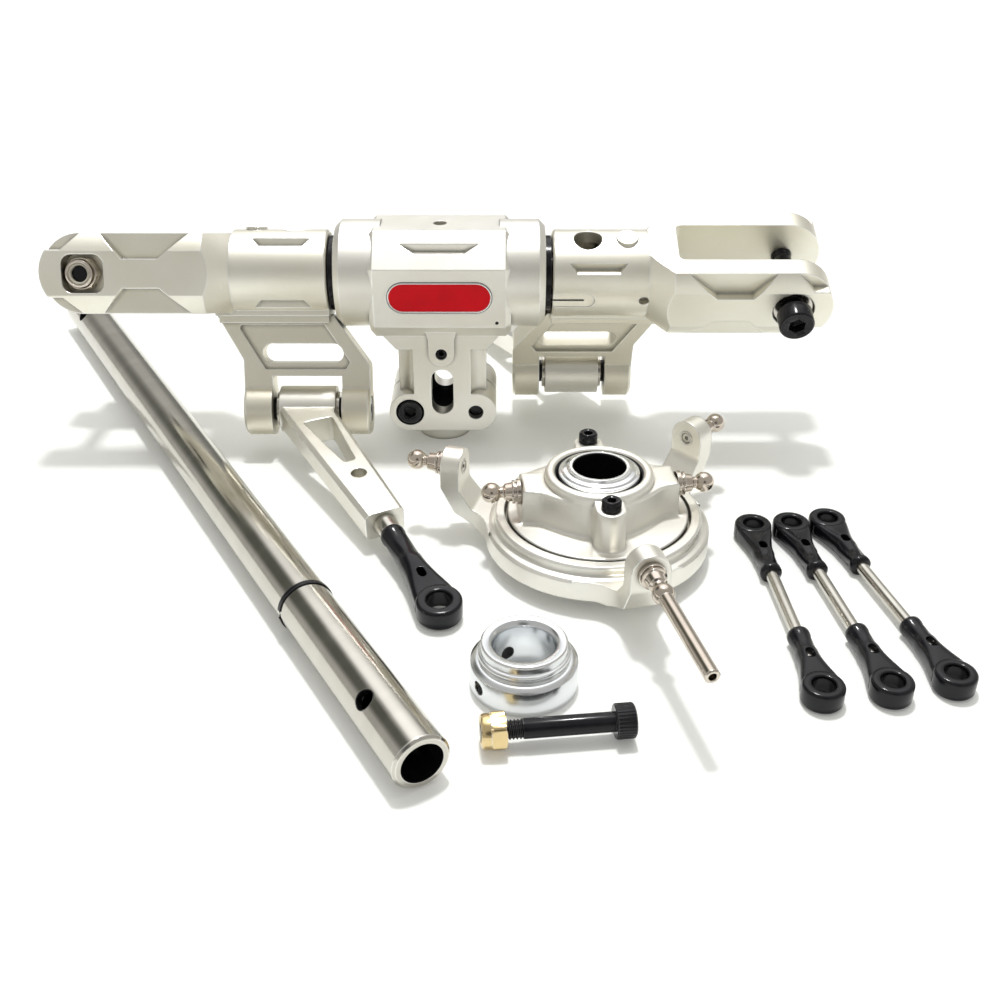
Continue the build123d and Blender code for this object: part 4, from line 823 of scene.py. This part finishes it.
def squared(half_width, half_height, along, power):
    """An outline across Y between a circle and a rectangle."""
    count = 56
    points = []
    for step in range(count):
        angle = 2 * math.pi * step / count
        cosine, sine = math.cos(angle), math.sin(angle)
        reach = (abs(cosine) ** power + abs(sine) ** power) ** (-1 / power)
        points.append((half_width * reach * cosine, along, half_height * reach * sine))
    return points


def link_end(name, body, place, reach, radius, thickness, shank, shank_length, replaces=()):
    """A moulded ball link along Y: a round shank that flows into a flat web, and a ring with a ball socket."""
    nylon = moulded_nylon("Moulded nylon")
    web = Piece(f"{name}_web")
    half, flat, bore = shank / 2, thickness / 2 - 0.15, 0.55 * radius
    end = shank_length - reach
    outlines = [squared(half - 0.45, half - 0.45, -reach, 2.0), squared(half, half, 0.45 - reach, 2.0)]
    outlines += [squared(half, half, 1.5 - reach, 2.0), squared(half - 0.18, half - 0.18, 1.8 - reach, 2.0)]
    outlines += [squared(half - 0.18, half - 0.18, end - 2.2, 2.0), squared(half, half, end - 1.4, 2.1)]
    span = -0.35 * radius - end
    for share, widen, flatten, power in (
        (0.0, 0.0, 0.0, 2.15), (0.16, 0.07, 0.10, 2.3), (0.32, 0.20, 0.35, 2.7), (0.48, 0.37, 0.8, 3.4),
        (0.64, 0.56, 1.0, 4.4), (0.82, 0.79, 1.0, 5.0), (1.0, 0.98, 1.0, 5.0),
    ):
        wide = half + (radius - 0.20 - half) * widen
        high = half + (flat - half) * flatten
        outlines.append(squared(wide, high, end + span * share, power))
    web.loft(outlines, nylon, place)
    holes = [
        (place @ placed((0, 0, -5.0)), section(0.5 * (bore + radius), 0.0, count=64), 10.0),
        (place @ placed((0, -9.9, -5.0), (90, "Z")), stadium(3.1, 1.9, 0.0), 10.0),
    ]
    web.finish(body, replaces, smooth=50.0, holes=holes)
    ring = Piece(f"{name}_eye")
    top = thickness / 2
    outer = [(radius - 0.75, top), (radius - 0.3, top - 0.15), (radius - 0.06, top - 0.5), (radius, top - 0.95)]
    inner = [(bore + 0.04, top - 0.3), (bore + 0.16, top - 0.08), (bore + 0.4, top)]
    socket = [(bore, 0.62 * top), (bore + 0.14, 0.32 * top), (bore + 0.2, 0.0)]
    upper = socket[::-1] + inner + outer
    profile = upper + [(wide, -height) for wide, height in upper[::-1] if height]
    ring.turn(profile, nylon, place, round_trip=True)
    ring.finish(body, smooth=50.0)


def neck_ball(piece, face, ball, material, place, pin=0.0):
    """A link ball with its neck and stepped collar, along Z, from the face it is screwed to."""
    radius, neck, pin_radius = 2.4, 1.35, 1.6
    profile = [
        (1.25, face - 3.5), (1.25, face + 0.05), (2.95, face + 0.05), (3.0, face + 0.12),
        (3.0, face + 0.95), (2.9, face + 1.05), (2.35, face + 1.05), (2.35, face + 1.45),
        (2.75, face + 1.5), (2.75, face + 1.95), (2.3, face + 2.1), (2.0, ball - 3.1),
        (neck + 0.1, ball - 2.75), (neck, ball - 2.45),
    ]
    foot = math.asin(neck / radius)
    steps = 22
    last = math.asin(pin_radius / radius) if pin else 0.0
    for step in range(steps + 1):
        angle = foot + (math.pi - foot - last) * step / steps
        profile.append((max(radius * math.sin(angle), 0.02), ball - radius * math.cos(angle)))
    if pin:
        profile += [
            (pin_radius, ball + 2.6), (pin_radius, pin - 0.3), (1.3, pin), (0.95, pin), (0.8, pin - 0.15),
            (0.8, pin - 4.0), (0.02, pin - 4.1),
        ]
    piece.turn(profile, material, place)


# One operator for each piece or group of like pieces


class ROTOR_OT_head(bpy.types.Operator):
    """Finish the head block, its label plate and its screws"""

    bl_idname = "rotor.head"
    bl_label = "Head Block"

    def execute(self, context):
        # The head's bore for the mast is painted dark as shade
        mast_bore = ((0.0, 0.0, 0.0), Z_AXIS, 6.6, 31.5)
        paint(blasted_aluminium("Head aluminium", bore=mast_bore), "head_block")
        paint(black_oxide("Black oxide"), "mast_set_screws")
        self.label_plate()
        screws = Piece("clamp_cap_screws")
        for turn in SIDE_TURNS.values():
            screws.cap_screw(turn @ CLAMP_SCREW_PLACE, (4.0, 16.0), (7.0, 4.0), 3.0)
        screws.finish("head", ["clamp_screws"])
        return {"FINISHED"}

    def label_plate(self):
        """A bright bevelled rim round a bare field of enamel."""
        plate = Piece("name_plate")
        rim = plated_metal("Plate rim", settings().turned, 0.12)
        outlines = [
            stadium(27.0, 8.2, 0.0), stadium(27.0, 8.2, 0.45), stadium(26.7, 7.9, 0.60), stadium(26.35, 7.55, 0.60),
            stadium(26.2, 7.4, 0.44),
        ]
        plate.loft(outlines, rim, PLATE_PLACE, capped=(True, False))
        field = [stadium(26.2, 7.4, 0.44), stadium(25.6, 6.8, 0.47), stadium(24.6, 5.8, 0.48)]
        plate.loft(field, red_enamel("Red enamel"), PLATE_PLACE, capped=(False, True))
        plate.finish("head", ["label_plate"])


class ROTOR_OT_spindle(bpy.types.Operator):
    """Finish the spindle and what is threaded on it"""

    bl_idname = "rotor.spindle"
    bl_label = "Spindle"

    def execute(self, context):
        paint(turned_metal("Spindle steel", settings().steel, 0.2, SPINDLE_CENTRE, X_AXIS), "spindle")
        paint(rubber("Damper rubber"), "dampers")
        paint(black_oxide("Black oxide"), "spindle_bolts", "spindle_washers")
        return {"FINISHED"}


class ROTOR_OT_grips(bpy.types.Operator):
    """Finish the blade grips, their bearings and the blade bolts"""

    bl_idname = "rotor.grips"
    bl_label = "Blade Grips"

    def execute(self, context):
        look = settings()
        bearing = turned_metal("Bearing steel", look.steel, 0.15, SPINDLE_CENTRE, X_AXIS)
        warm = (1.0, 0.99, 0.935)
        for number, side in enumerate(SIDES):
            offset = (0.3 * number, 0.1, 0.0)
            paint(blasted_aluminium(f"Grip aluminium {side}", offset=offset, tint=warm), f"grip_{side}")
            paint(bearing, f"grip_bearings_{side}", f"thrust_bearing_{side}")
            paint(plated_metal("Washer steel", look.steel, 0.16), f"blade_washer_{side}")
            self.blade_fasteners(side)
        return {"FINISHED"}

    def blade_fasteners(self, side):
        """The blade bolt through the grip's fork, and the nut on its end."""
        grip = SIDE_TURNS[side] @ RIGHT_GRIP
        bolt = Piece(f"blade_cap_screw_{side}")
        place = grip @ placed((BLADE_BOLT_X, BLADE_BOLT_HEAD_Y, 0), (-90, "X"))
        bolt.cap_screw(place, (5.0, 29.8), (9.0, 5.0), 4.0, threaded=9.0)
        bolt.finish(f"{side}_grip", [f"blade_bolt_{side}"])
        nut = Piece(f"blade_locknut_{side}")
        place = grip @ placed((BLADE_BOLT_X, BLADE_NUT_Y, 0), (-90, "X"))
        hexagon = {"flats": 8.0, "turn": math.radians(30)}
        nickel = plated_metal("Nickel", settings().nickel, 0.13)
        outlines = [
            section(2.56, 0.0), section(4.0, 0.0), section(4.42, 0.3, **hexagon), section(4.42, 2.8, **hexagon),
            section(4.0, 3.2, **hexagon), section(3.75, 3.25), section(3.72, 3.5), section(3.68, 4.2),
            section(3.45, 4.65), section(3.05, 4.85), section(2.85, 4.8), section(2.75, 4.55), section(2.75, 3.4),
            section(2.56, 3.3),
        ]
        nut.loft(outlines, nickel, place, round_trip=True)
        insert = [section(2.74, 3.42), section(2.74, 4.5), section(2.5, 4.6), section(2.15, 4.4), section(2.1, 3.42)]
        nut.loft(insert, moulded_insert("Locknut insert"), place, round_trip=True)
        nut.finish(f"{side}_grip", [f"blade_nut_{side}"])


class ROTOR_OT_pitch_arms(bpy.types.Operator):
    """Finish the pitch arms and the pins of the levers"""

    bl_idname = "rotor.pitch_arms"
    bl_label = "Pitch Arms"

    def execute(self, context):
        metal = blasted_aluminium("Arm aluminium", 0.44, (0.0, 0.5, 0.2), tint=(0.95, 0.925, 0.835))
        for side in SIDES:
            paint(metal, f"pitch_arm_{side}")
            paint(black_oxide("Black oxide"), f"arm_screws_{side}", f"lever_pin_{side}")
        return {"FINISHED"}


class ROTOR_OT_levers(bpy.types.Operator):
    """Finish the levers with their bearings and studs"""

    bl_idname = "rotor.levers"
    bl_label = "Levers"

    def execute(self, context):
        metal = blasted_aluminium("Lever aluminium", 0.42, (0.2, 0.2, 0.9))
        steel = plated_metal("Stud steel", settings().steel, 0.18)
        for side in SIDES:
            paint(metal, f"lever_{side}")
            paint(steel, f"lever_bearings_{side}", f"lever_stud_{side}")
        return {"FINISHED"}


class ROTOR_OT_ball_links(bpy.types.Operator):
    """Finish the moulded ball links of the levers and the rods"""

    bl_idname = "rotor.ball_links"
    bl_label = "Ball Links"

    def execute(self, context):
        # Reach from the eye to the shank's end, radius and thickness of the eye, diameter and length of the shank
        lever_sizes = (28.3, 5.2, 5.0, 6.0, 13.0)
        rod_sizes = (19.0, 4.4, 4.6, 5.0, 8.5)
        for side, turn in SIDE_TURNS.items():
            link_end(f"lever_link_{side}", f"{side}_lever", turn @ RIGHT_EYE, *lever_sizes, [f"ball_link_{side}"])
        for number, (x, y, turn) in enumerate(RODS, start=1):
            far = placed((x, y, ROD_HEIGHT), (turn, "Z"))
            near = far @ placed((0, -ROD_LENGTH, 0), (180, "Z"))
            link_end(f"rod_{number}_far", f"linkage_{number}", far, *rod_sizes, [f"rod_ends_{number}"])
            link_end(f"rod_{number}_near", f"linkage_{number}", near, *rod_sizes)
        return {"FINISHED"}


class ROTOR_OT_rods(bpy.types.Operator):
    """Finish the linkage rods"""

    bl_idname = "rotor.rods"
    bl_label = "Linkage Rods"

    def execute(self, context):
        steel = plated_metal("Rod steel", settings().steel, 0.2)
        for number in range(1, len(RODS) + 1):
            paint(steel, f"link_rod_{number}")
        return {"FINISHED"}


class ROTOR_OT_mast(bpy.types.Operator):
    """Finish the mast and its snap ring"""

    bl_idname = "rotor.mast"
    bl_label = "Mast"

    def execute(self, context):
        across = [
            MAST_PLACE @ placed((0, 0, distance), (MAST_HOLE_TURN, "Z"), (90, "Y")) for distance in MAST_HOLE_DISTANCES
        ]
        start, axis = tuple(MAST_PLACE.translation), tuple(MAST_PLACE.col[2][:3])
        # The bore and the cross holes, with a thin rim round each hole, are painted dark as shade
        bores = [(start, axis, 4.36, 65.0)]
        bores += [(tuple(hole.translation), tuple(hole.col[2][:3]), 2.2, 20.0) for hole in across]
        steel = turned_metal("Mast steel", settings().steel, 0.11, start, axis, 1800.0, bores=bores)
        tube = Piece("drilled_mast")
        profile = [
            (4.3, 0.02), (5.4, 0.02), (5.98, 0.6), (5.98, 55.0), (5.6, 55.0), (5.6, 56.2), (5.98, 56.2),
            (5.98, 249.4), (5.4, 249.98), (4.3, 249.98),
        ]
        tube.turn(profile, steel, MAST_PLACE, round_trip=True)
        drill = section(2.05, -9.0, count=64)
        tube.finish("mast", ["mast"], holes=[(hole, drill, 18.0) for hole in across])
        paint(black_oxide("Black oxide"), "snap_ring")
        return {"FINISHED"}


class ROTOR_OT_collar(bpy.types.Operator):
    """Finish the turned stop collar and its set screws"""

    bl_idname = "rotor.collar"
    bl_label = "Stop Collar"

    def execute(self, context):
        centre = tuple((low + high) / 2 for low, high in zip(*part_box("mast_collar")))
        bright = turned_metal("Turned aluminium", settings().turned, 0.19, centre, Z_AXIS, 2200.0, 0.012)
        ring = Piece("turned_collar")
        profile = [
            (6.5, 0.0), (10.75, 0.0), (11.1, 0.35), (11.1, 5.9), (10.95, 6.15), (10.15, 6.75), (9.75, 6.9),
            (9.35, 6.95), (9.2, 7.15), (9.2, 7.45), (9.4, 7.65), (9.55, 7.95), (9.55, 8.35), (9.4, 8.65), (9.15, 8.8),
            (8.9, 8.85), (8.85, 9.0), (8.85, 10.45), (8.55, 10.8), (7.2, 10.8), (6.85, 10.6), (6.2, 9.7), (6.15, 9.4),
            (6.15, 0.35),
        ]
        ring.turn(profile, bright, placed(COLLAR_PLACE), round_trip=True)
        bored = section(1.55, 5.0, count=48)
        holes = [
            (placed(COLLAR_PLACE, (angle, "Z"), (90, "Y")) @ placed((-COLLAR_SCREW_HEIGHT, 0, 0)), bored, 8.0)
            for angle in COLLAR_SCREW_ANGLES
        ]
        ring.finish("collar", ["mast_collar"], holes=holes)
        paint(black_oxide("Black oxide"), "collar_set_screws")
        return {"FINISHED"}


class ROTOR_OT_mast_bolt(bpy.types.Operator):
    """Finish the mast bolt and its brass nut"""

    bl_idname = "rotor.mast_bolt"
    bl_label = "Mast Bolt"

    def execute(self, context):
        bolt = Piece("mast_cap_screw")
        place = MAST_BOLT_PLACE @ placed((MAST_BOLT_LENGTH, 0, 0), (-90, "Y"))
        bolt.cap_screw(place, (4.0, MAST_BOLT_LENGTH), (7.0, 4.0), 3.0, teeth=32, threaded=8.4)
        bolt.finish("mast_bolt_and_nut", ["mast_bolt"])
        nut = Piece("mast_locknut")
        place = MAST_BOLT_PLACE @ placed((0, 0, 0), (90, "Y"))
        hexagon = {"flats": 7.2, "turn": math.radians(15)}
        brass = plated_metal("Brass", settings().brass, 0.15)
        outlines = [
            section(2.06, 5.0), section(3.6, 5.0), section(4.0, 4.75, **hexagon), section(4.0, 2.3, **hexagon),
            section(3.75, 2.0, **hexagon), section(3.5, 1.95), section(3.5, 0.7), section(3.3, 0.25),
            section(2.9, 0.02), section(2.5, 0.05), section(2.3, 0.35), section(2.06, 0.45),
        ]
        nut.loft(outlines, brass, place, round_trip=True)
        nut.finish("mast_bolt_and_nut", ["mast_nut"])
        return {"FINISHED"}


class ROTOR_OT_swashplate(bpy.types.Operator):
    """Finish the swashplate with its balls, bearing and screws"""

    bl_idname = "rotor.swashplate"
    bl_label = "Swashplate"

    def execute(self, context):
        centre = tuple(value * MM for value in SWASH_CENTRE)
        paint(blasted_aluminium("Ring aluminium", 0.42, (0.7, 0.1, 0.4)), "swash_ring")
        # The star's bore is painted dark as shade
        self.star(blasted_aluminium("Star aluminium", 0.46, (0.1, 0.8, 0.4), (centre, Z_AXIS, 10.3, 30.0)))
        paint(turned_metal("Race steel", settings().steel, 0.15, centre, Z_AXIS), "swash_bearing")
        self.centre_ball(centre)
        self.link_balls()
        self.stud_ends()
        screws = Piece("star_cap_screws")
        for side in (-1, 1):
            place = STAR_PLACE @ placed((0, side * STAR_LUG_DISTANCE, STAR_LUG_TOP), (180, "X"))
            screws.cap_screw(place, (2.5, 7.0), (4.5, 2.6), 2.0)
        screws.finish("swash_upper", ["star_screws"])
        return {"FINISHED"}

    def star(self, material):
        """The star: a disc and hub, two arms and two screw lugs that flow into one another, and a rounded rim."""
        star = Piece("flared_star")
        rings = [
            self.round_section(radius, height)
            for radius, height in ((18.0, 0.0), (18.4, 0.4), (18.4, 9.7), (21.3, 9.7), (21.3, 11.1), (21.0, 11.4))
        ]
        for spread, height in ((0.75, 11.42), (0.35, 11.55), (0.1, 11.85), (0.0, 12.3), (0.0, 18.9)):
            rings.append(self.star_section(spread, height, 0.0))
        for spread, height in ((-0.12, 19.35), (-0.42, 19.7), (-0.9, 19.82)):
            rings.append(self.star_section(spread, height, 1.2))
        rings.append(self.star_section(-20.0, 19.86, 1.2))
        rings.append(self.star_section(-20.0, 19.98, 1.1))
        for radius, height in (
            (12.62, 21.1), (12.45, 21.5), (12.1, 21.82), (11.6, 22.0), (10.95, 22.0), (10.6, 21.85), (10.3, 21.4),
            (9.95, 20.9), (10.2, 19.6), (10.25, 18.2), (10.1, 16.5), (9.5, 14.4), (9.45, 0.0),
        ):
            rings.append(self.round_section(radius, height))
        star.loft(rings, material, STAR_PLACE, round_trip=True)
        star.finish("swash_upper", ["swash_star"], smooth=38.0)

    def round_section(self, radius, height):
        """A circle with as many points as the star's outline has."""
        return section(radius, height, count=STAR_POINTS)

    def star_section(self, spread, height, lift):
        """The star's outline, moved outward by the spread and raised at the lugs by the lift."""
        hub_radius, least_radius, lift_start, blend = 12.9, 12.68, 13.4, 6.0
        flank_start, flank_end, flank_distance, flank_share = math.radians(13.3), math.radians(59.5), 13.0, 0.55
        points = []
        for step in range(STAR_POINTS):
            angle = 2 * math.pi * step / STAR_POINTS
            cosine, sine = abs(math.cos(angle)), abs(math.sin(angle))
            run, rise = max(cosine, 1e-6), max(sine, 1e-6)
            arm = min(STAR_FACE / run, STAR_ARM_HALF_WIDTH / rise)
            offset = STAR_LUG_DISTANCE * cosine
            lug = min(STAR_LUG_RADIUS / run, STAR_LUG_DISTANCE / rise)
            if offset < STAR_LUG_RADIUS:
                lug = max(lug, STAR_LUG_DISTANCE * sine + math.sqrt(STAR_LUG_RADIUS**2 - offset**2))
            reach = hub_radius
            for other in (arm, lug):
                share = min(max(0.5 + (other - reach) / blend, 0.0), 1.0)
                reach += (other - reach) * share + blend / 2 * share * (1.0 - share)
            around = math.atan2(sine, cosine)
            if flank_start < around < flank_end:
                straight = flank_distance / math.cos(around - flank_end)
                reach += flank_share * max(straight - reach, 0.0)
            reach = max(reach + spread, least_radius)
            up = lift * min(max(lug - lift_start, 0.0), 1.0) if arm < lug else 0.0
            points.append((reach * math.cos(angle), reach * math.sin(angle), height + up))
        return points

    def centre_ball(self, centre):
        """The ball that slides on the mast, with a bright stepped ring round its bore, which is painted dark as shade.
        """
        ball = Piece("mast_slider_ball")
        # The ball's bore is painted dark as shade
        bores = [(centre, Z_AXIS, 6.2, 30.0)]
        steel = turned_metal("Slider steel", settings().turned, 0.10, centre, Z_AXIS, 2400.0, 0.01, bores)
        profile = [
            (6.05, 13.7), (6.05, 22.8), (6.35, 23.2), (6.95, 23.2), (7.15, 23.0), (7.15, 22.75), (7.45, 22.45),
            (8.45, 22.3), (8.75, 21.9),
        ]
        steps, middle, radius, half_height = 20, 18.2, 10.0, 3.55
        top = math.acos(half_height / radius)
        for step in range(steps + 1):
            angle = top + (math.pi - 2 * top) * step / steps
            profile.append((radius * math.sin(angle), middle + radius * math.cos(angle)))
        profile += [(8.45, 14.0), (7.0, 13.25), (6.45, 13.25)]
        ball.turn(profile, steel, placed(SWASH_CENTRE), round_trip=True)
        ball.finish("swash_centre_ball", ["swash_ball"])

    def outward(self, turn, height):
        """A place on the swashplate's axis at a height, with Z pointing outward."""
        return placed(SWASH_CENTRE, (turn, "Z")) @ placed((0, 0, height), (90, "Y"))

    def link_balls(self):
        """The balls on the two horns and the star, and the one on the third horn that ends in the guide pin."""
        nickel = plated_metal("Nickel", settings().nickel, 0.13)
        horn = Piece("horn_link_balls")
        for angle in HORN_ANGLES[:2]:
            neck_ball(horn, HORN_FACE, HORN_BALL, nickel, self.outward(angle, HORN_BALL_HEIGHT))
        horn.finish("swash_lower", ["horn_balls"])
        guide = Piece("guide_pin_ball")
        place = self.outward(HORN_ANGLES[2], HORN_BALL_HEIGHT)
        neck_ball(guide, HORN_FACE, HORN_BALL, nickel, place, pin=GUIDE_PIN_END)
        guide.finish("swash_lower", ["antirotation_pin"])
        star = Piece("star_link_balls")
        for turn in (STAR_TURN, STAR_TURN + 180):
            neck_ball(star, STAR_FACE, STAR_BALL, nickel, self.outward(turn, STAR_BALL_HEIGHT))
        star.finish("swash_upper", ["star_balls"])

    def stud_ends(self):
        """The ends of the ball studs, seen on the inner faces of the horns."""
        ends = Piece("horn_stud_ends")
        steel = plated_metal("Stud steel", settings().steel, 0.18)
        for angle in HORN_ANGLES:
            place = placed(SWASH_CENTRE, (angle, "Z")) @ placed((HORN_INNER_FACE, 0, HORN_BALL_HEIGHT), (-90, "Y"))
            washer = [(1.42, -0.1), (1.42, 0.12), (1.6, 0.2), (1.85, 0.14), (1.95, -0.1)]
            ends.turn(washer, steel, place, round_trip=True)
            stud = [
                section(1.3, -1.2), section(1.3, -0.15), section(1.15, 0.0), section(0.75, 0.0),
                section(0.6, -0.1, flats=1.0), section(0.6, -0.7, flats=1.0),
            ]
            ends.loft(stud, steel, place)
        ends.finish("swash_lower")


class ROTOR_OT_stage(bpy.types.Operator):
    """Set up the table, the lamp, the world and the camera"""

    bl_idname = "rotor.stage"
    bl_label = "Stage"

    def execute(self, context):
        scene = context.scene
        scene.view_settings.view_transform = "Standard"
        stage = scene.rotor_stage
        self.table(scene, stage)
        self.world(scene, stage)
        self.lamp(scene, stage)
        self.camera(scene, stage)
        return {"FINISHED"}

    def table(self, scene, stage):
        """A pale table top that is lit a little where it is seen, so that it runs into the white behind."""
        mesh = bpy.data.meshes.new("Table")
        half = TABLE_HALF_WIDTH
        corners = [(-half, -half, 0), (half, -half, 0), (half, half, 0), (-half, half, 0)]
        mesh.from_pydata(corners, [], [(0, 1, 2, 3)])
        table = bpy.data.objects.new("Table", mesh)
        scene.collection.objects.link(table)
        surface = Surface("White table", Specular_IOR_Level=0.25, Roughness=0.6, Emission_Strength=1.0)
        cloud = surface.group("Blasted grain", Grain_Scale=900.0, Cloud_Scale=4.0)["Cloud"]
        pale = rgba(stage.floor_colour)
        surface.drive("Base Color", surface.mix(surface.math("MULTIPLY", cloud, 0.3), pale, (0.88, 0.9, 0.87, 1.0)))
        far = surface.span(surface.vector("LENGTH", surface.place())["Value"], 0.10, 0.60)
        glow = surface.mix(far, rgba([stage.table_glow] * 3), (0.6, 0.6, 0.6, 1.0))
        surface.drive("Emission Color", surface.mix(self.seen(surface, 0.5), (0.0, 0.0, 0.0, 1.0), glow))
        mesh.materials.append(surface.material)

    def seen(self, graph, reflected):
        """1 for what the camera sees straight or through glass, and the share given for what metal reflects."""
        path = graph.add("ShaderNodeLightPath")
        mirrored = graph.math("MULTIPLY", path.outputs["Is Glossy Ray"], reflected)
        direct = graph.math("MAXIMUM", path.outputs["Is Camera Ray"], path.outputs["Is Transmission Ray"])
        return graph.math("MAXIMUM", direct, mirrored)

    def world(self, scene, stage):
        """A room for the metals to reflect: a pale backdrop above the set, and darker patches round it."""
        world = bpy.data.worlds.new("Studio")
        world.use_nodes = True
        scene.world = world
        graph = Graph(world.node_tree)
        world.node_tree.nodes.clear()
        direction = graph.place("Generated")
        soft = rgba([stage.room_light] * 3, (1.0, 0.985, 0.93))
        for centre, outer, inner, colour in (
            ((0.0, 0.45, 0.89), 0.78, 0.94, [stage.backdrop_light] * 3),
            ((-0.70, 0.48, 0.53), 0.925, 0.985, (0.045, 0.05, 0.032)),
            ((0.16, 0.98, 0.08), 0.90, 0.98, (0.16, 0.165, 0.15)),
            ((0.05, -0.88, 0.47), 0.945, 0.985, (0.04, 0.04, 0.035)),
        ):
            toward = graph.vector("DOT_PRODUCT", direction, centre)["Value"]
            soft = graph.mix(graph.span(toward, outer, inner), soft, rgba(colour))
        tone = graph.mix(self.seen(graph, 0.08), soft, (1.0, 1.0, 1.0, 1.0))
        light = graph.add("ShaderNodeBackground", {"Color": tone, "Strength": 1.0})
        out = graph.add("ShaderNodeOutputWorld")
        graph.tree.links.new(light.outputs["Background"], out.inputs["Surface"])

    def lamp(self, scene, stage):
        light = bpy.data.lights.new("Key lamp", "AREA")
        light.shape = "SQUARE"
        light.size = LAMP_SIZE
        light.energy = stage.key_power
        lamp = bpy.data.objects.new("Key lamp", light)
        lamp.location = LAMP_PLACE
        lamp.rotation_euler = (Vector(LAMP_TARGET) - Vector(LAMP_PLACE)).to_track_quat("-Z", "Y").to_euler()
        scene.collection.objects.link(lamp)

    def camera(self, scene, stage):
        data = bpy.data.cameras.new("Camera")
        data.lens = stage.lens
        data.sensor_width = SENSOR_WIDTH
        data.clip_start = 0.01
        camera = bpy.data.objects.new("Camera", data)
        camera.location = (CAMERA_X, CAMERA_Y, stage.camera_height)
        camera.rotation_euler = (math.pi / 2 - stage.camera_pitch, 0.0, 0.0)
        scene.collection.objects.link(camera)
        scene.camera = camera


OPERATORS = (
    ROTOR_OT_head,
    ROTOR_OT_spindle,
    ROTOR_OT_grips,
    ROTOR_OT_pitch_arms,
    ROTOR_OT_levers,
    ROTOR_OT_ball_links,
    ROTOR_OT_rods,
    ROTOR_OT_mast,
    ROTOR_OT_collar,
    ROTOR_OT_mast_bolt,
    ROTOR_OT_swashplate,
    ROTOR_OT_stage,
)


class ROTOR_PT_panel(bpy.types.Panel):
    """Lists the steps that finish the set"""

    bl_idname = "ROTOR_PT_panel"
    bl_label = "Rotor Head Set"
    bl_space_type = "VIEW_3D"
    bl_region_type = "UI"
    bl_category = "Rotor Head"

    def draw(self, context):
        for operator in OPERATORS:
            self.layout.operator(operator.bl_idname)
        for group in (context.scene.rotor_finish, context.scene.rotor_stage):
            for name in group.bl_rna.properties.keys():
                if name not in ("rna_type", "name"):
                    self.layout.prop(group, name)


CLASSES = (FinishSettings, StageSettings, *OPERATORS, ROTOR_PT_panel)


def register():
    for item in CLASSES:
        bpy.utils.register_class(item)
    bpy.types.Scene.rotor_finish = bpy.props.PointerProperty(type=FinishSettings)
    bpy.types.Scene.rotor_stage = bpy.props.PointerProperty(type=StageSettings)


def unregister():
    del bpy.types.Scene.rotor_stage
    del bpy.types.Scene.rotor_finish
    for item in reversed(CLASSES):
        bpy.utils.unregister_class(item)


def main():
    """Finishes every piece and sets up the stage."""
    register()
    for operator in OPERATORS:
        group, name = operator.bl_idname.split(".")
        getattr(getattr(bpy.ops, group), name)()


if __name__ == "__main__":
    main()
